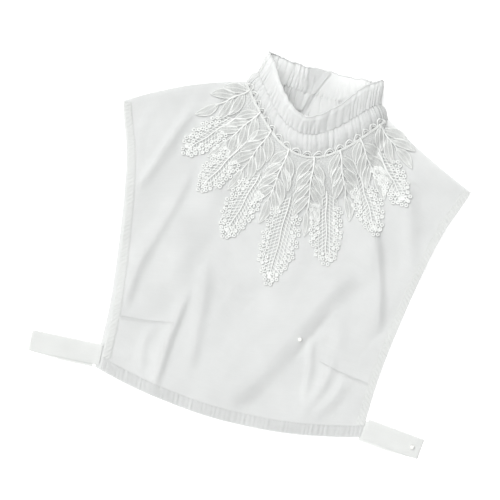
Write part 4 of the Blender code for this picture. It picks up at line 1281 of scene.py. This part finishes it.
class FALSECOLLAR_OT_loops(bpy.types.Operator):
    """Folds the side loops of tape and stitches their edges"""

    bl_idname = "false_collar.loops"
    bl_label = "Side loops"

    def loop_place(self, loop):
        start, end = Vector((loop.x0, loop.y0)), Vector((loop.x1, loop.y1))
        along = (end - start).normalized()
        across = Vector((-along.y, along.x))
        bend = FRONT_REST / 2
        reach = (end - start).length - bend - WALL / 2
        turn_length = math.pi * bend
        under = reach - loop.tuck
        total = reach + turn_length + under

        def place(u, v):
            travelled = total * u
            if travelled < reach:
                distance, z, slip = travelled, FRONT_REST + WALL / 2, 0.0
                z += LOOP_WAVE * uneven(distance / 16.0, v * 1.2, loop.x0) + LOOP_REST
            elif travelled < reach + turn_length:
                angle = (travelled - reach) / bend
                distance, slip = reach + bend * math.sin(angle), 0.0
                z = WALL / 2 + bend + bend * math.cos(angle)
            else:
                share = (travelled - reach - turn_length) / under
                distance, z, slip = reach - under * share, WALL / 2, loop.lower_slip * min(share * 2.0, 1.0)
            at = start + along * distance + across * ((v - 0.5) * LOOP_WIDTH + slip)
            return Vector((at.x, at.y, z))

        return place

    def execute(self, context):
        seams = []
        for loop in LOOPS:
            place = self.loop_place(loop)
            length = 2.0 * math.hypot(loop.x1 - loop.x0, loop.y1 - loop.y0) * METRES_PER_MM
            name = loop.name.replace("side_loop", "loop_tape")
            piece = cloth_piece(name, (130, 14), (length, 0.021), place, TAPE, [loop.name])
            for v in (0.09, 0.91):
                line = [place(0.485 * k / 90, v) + UP * (SHELL / 2) for k in range(91)]
                seams += stitches(line, *LOOP_STITCH)
        thread_piece("loop_stitching", seams, [], TAPE)
        return {"FINISHED"}


class FALSECOLLAR_OT_buttons(bpy.types.Operator):
    """Turns the small pearl buttons and sets them on the front and on the right loop"""

    bl_idname = "false_collar.buttons"
    bl_label = "Buttons"

    def execute(self, context):
        radius = context.scene.false_collar_buttons.radius
        tree = tree_of("front_voile")
        for node, (x, y) in BUTTONS.items():
            middle = Vector((x, y, 0.0)) * METRES_PER_MM
            # The solid's underside is the seat, unless a fold of the cloth is higher there
            seat = max(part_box(node)[0][2], top_of(tree, x, y) * METRES_PER_MM)
            bpy.ops.object.select_all(action="DESELECT")
            bpy.ops.mesh.primitive_uv_sphere_add(segments=32, ring_count=18, radius=radius)
            button = context.object
            button.name = button.data.name = node.replace("button", "pearl")
            for vertex in button.data.vertices:
                rim = vertex.co.xy.length / radius
                if vertex.co.z < 0.0:
                    vertex.co.z *= BUTTON_FLAT
                elif vertex.co.z > 0.0:
                    vertex.co.z -= DIMPLE_DEPTH * radius * math.exp(-((rim / DIMPLE_REACH) ** 2))
                vertex.co += middle + UP * (seat + BUTTON_LIFT * METRES_PER_MM)
            bpy.ops.object.shade_smooth()
            finish_piece(button, PEARL, [node])
        return {"FINISHED"}


class FALSECOLLAR_OT_lace_ground(bpy.types.Operator):
    """Works the net ground of the lace and the scalloped cord along the neckline"""

    bl_idname = "false_collar.lace_ground"
    bl_label = "Lace ground"

    def execute(self, context):
        lace = context.scene.false_collar_lace
        tree = tree_of("front_voile")
        net = net_runs(tree, lace.mesh / METRES_PER_MM, lace.net / METRES_PER_MM)
        thread_piece("net_ground", net, [], GUIPURE, ["lace_yoke"])
        tree = tree_of("front_voile", "gathered_stand")
        bands, arches = border_runs(tree, lace.cord / METRES_PER_MM)
        thread_piece("scalloped_border", [], bands + arches, GUIPURE, ["lace_border"])
        return {"FINISHED"}


class FALSECOLLAR_OT_lace_tongues(bpy.types.Operator):
    """Works the seven tongues of flowers"""

    bl_idname = "false_collar.lace_tongues"
    bl_label = "Flower tongues"

    def execute(self, context):
        cord = context.scene.false_collar_lace.cord / METRES_PER_MM
        tree = tree_of("front_voile")
        for tongue in TONGUES:
            runs = tongue_runs(tongue, tree, cord)
            thread_piece(tongue.name.replace("lace", "flower"), [], runs, GUIPURE, [tongue.name])
        return {"FINISHED"}


class FALSECOLLAR_OT_leaf_sprays(bpy.types.Operator):
    """Works the eight sprays of leaves"""

    bl_idname = "false_collar.leaf_sprays"
    bl_label = "Leaf sprays"

    def execute(self, context):
        cord = context.scene.false_collar_lace.cord / METRES_PER_MM
        tree = tree_of("front_voile")
        for spray in SPRAYS:
            fine, thick = spray_runs(spray, tree, cord)
            thread_piece(spray.name.replace("leaf", "corded_leaf"), fine, thick, GUIPURE, [spray.name])
        return {"FINISHED"}


class FALSECOLLAR_PT_sidebar(bpy.types.Panel):
    """Lists the garment's settings and pieces"""

    bl_idname = "FALSECOLLAR_PT_sidebar"
    bl_label = "False Collar"
    bl_space_type = "VIEW_3D"
    bl_region_type = "UI"
    bl_category = "False Collar"

    def draw(self, context):
        for group in SETTINGS:
            settings = getattr(context.scene, group)
            box = self.layout.box()
            for name in settings.__annotations__:
                box.prop(settings, name)
        for operator in OPERATORS:
            self.layout.operator(operator.bl_idname)


SETTINGS = {
    "false_collar_cloth": ClothSettings,
    "false_collar_lace": LaceSettings,
    "false_collar_buttons": ButtonSettings,
    "false_collar_stage": StageSettings,
}
OPERATORS = (
    FALSECOLLAR_OT_stage,
    FALSECOLLAR_OT_panels,
    FALSECOLLAR_OT_hems,
    FALSECOLLAR_OT_collar,
    FALSECOLLAR_OT_loops,
    FALSECOLLAR_OT_buttons,
    FALSECOLLAR_OT_lace_ground,
    FALSECOLLAR_OT_lace_tongues,
    FALSECOLLAR_OT_leaf_sprays,
)


def register():
    for group in SETTINGS.values():
        bpy.utils.register_class(group)
    for operator in OPERATORS:
        bpy.utils.register_class(operator)
    bpy.utils.register_class(FALSECOLLAR_PT_sidebar)
    for name, group in SETTINGS.items():
        setattr(bpy.types.Scene, name, bpy.props.PointerProperty(type=group))


def unregister():
    for name in SETTINGS:
        delattr(bpy.types.Scene, name)
    bpy.utils.unregister_class(FALSECOLLAR_PT_sidebar)
    for operator in reversed(OPERATORS):
        bpy.utils.unregister_class(operator)
    for group in reversed(SETTINGS.values()):
        bpy.utils.unregister_class(group)


def main():
    register()
    bpy.ops.false_collar.stage()
    bpy.ops.false_collar.panels()
    bpy.ops.false_collar.hems()
    bpy.ops.false_collar.collar()
    bpy.ops.false_collar.loops()
    bpy.ops.false_collar.buttons()
    bpy.ops.false_collar.lace_ground()
    bpy.ops.false_collar.lace_tongues()
    bpy.ops.false_collar.leaf_sprays()


if __name__ == "__main__":
    main()
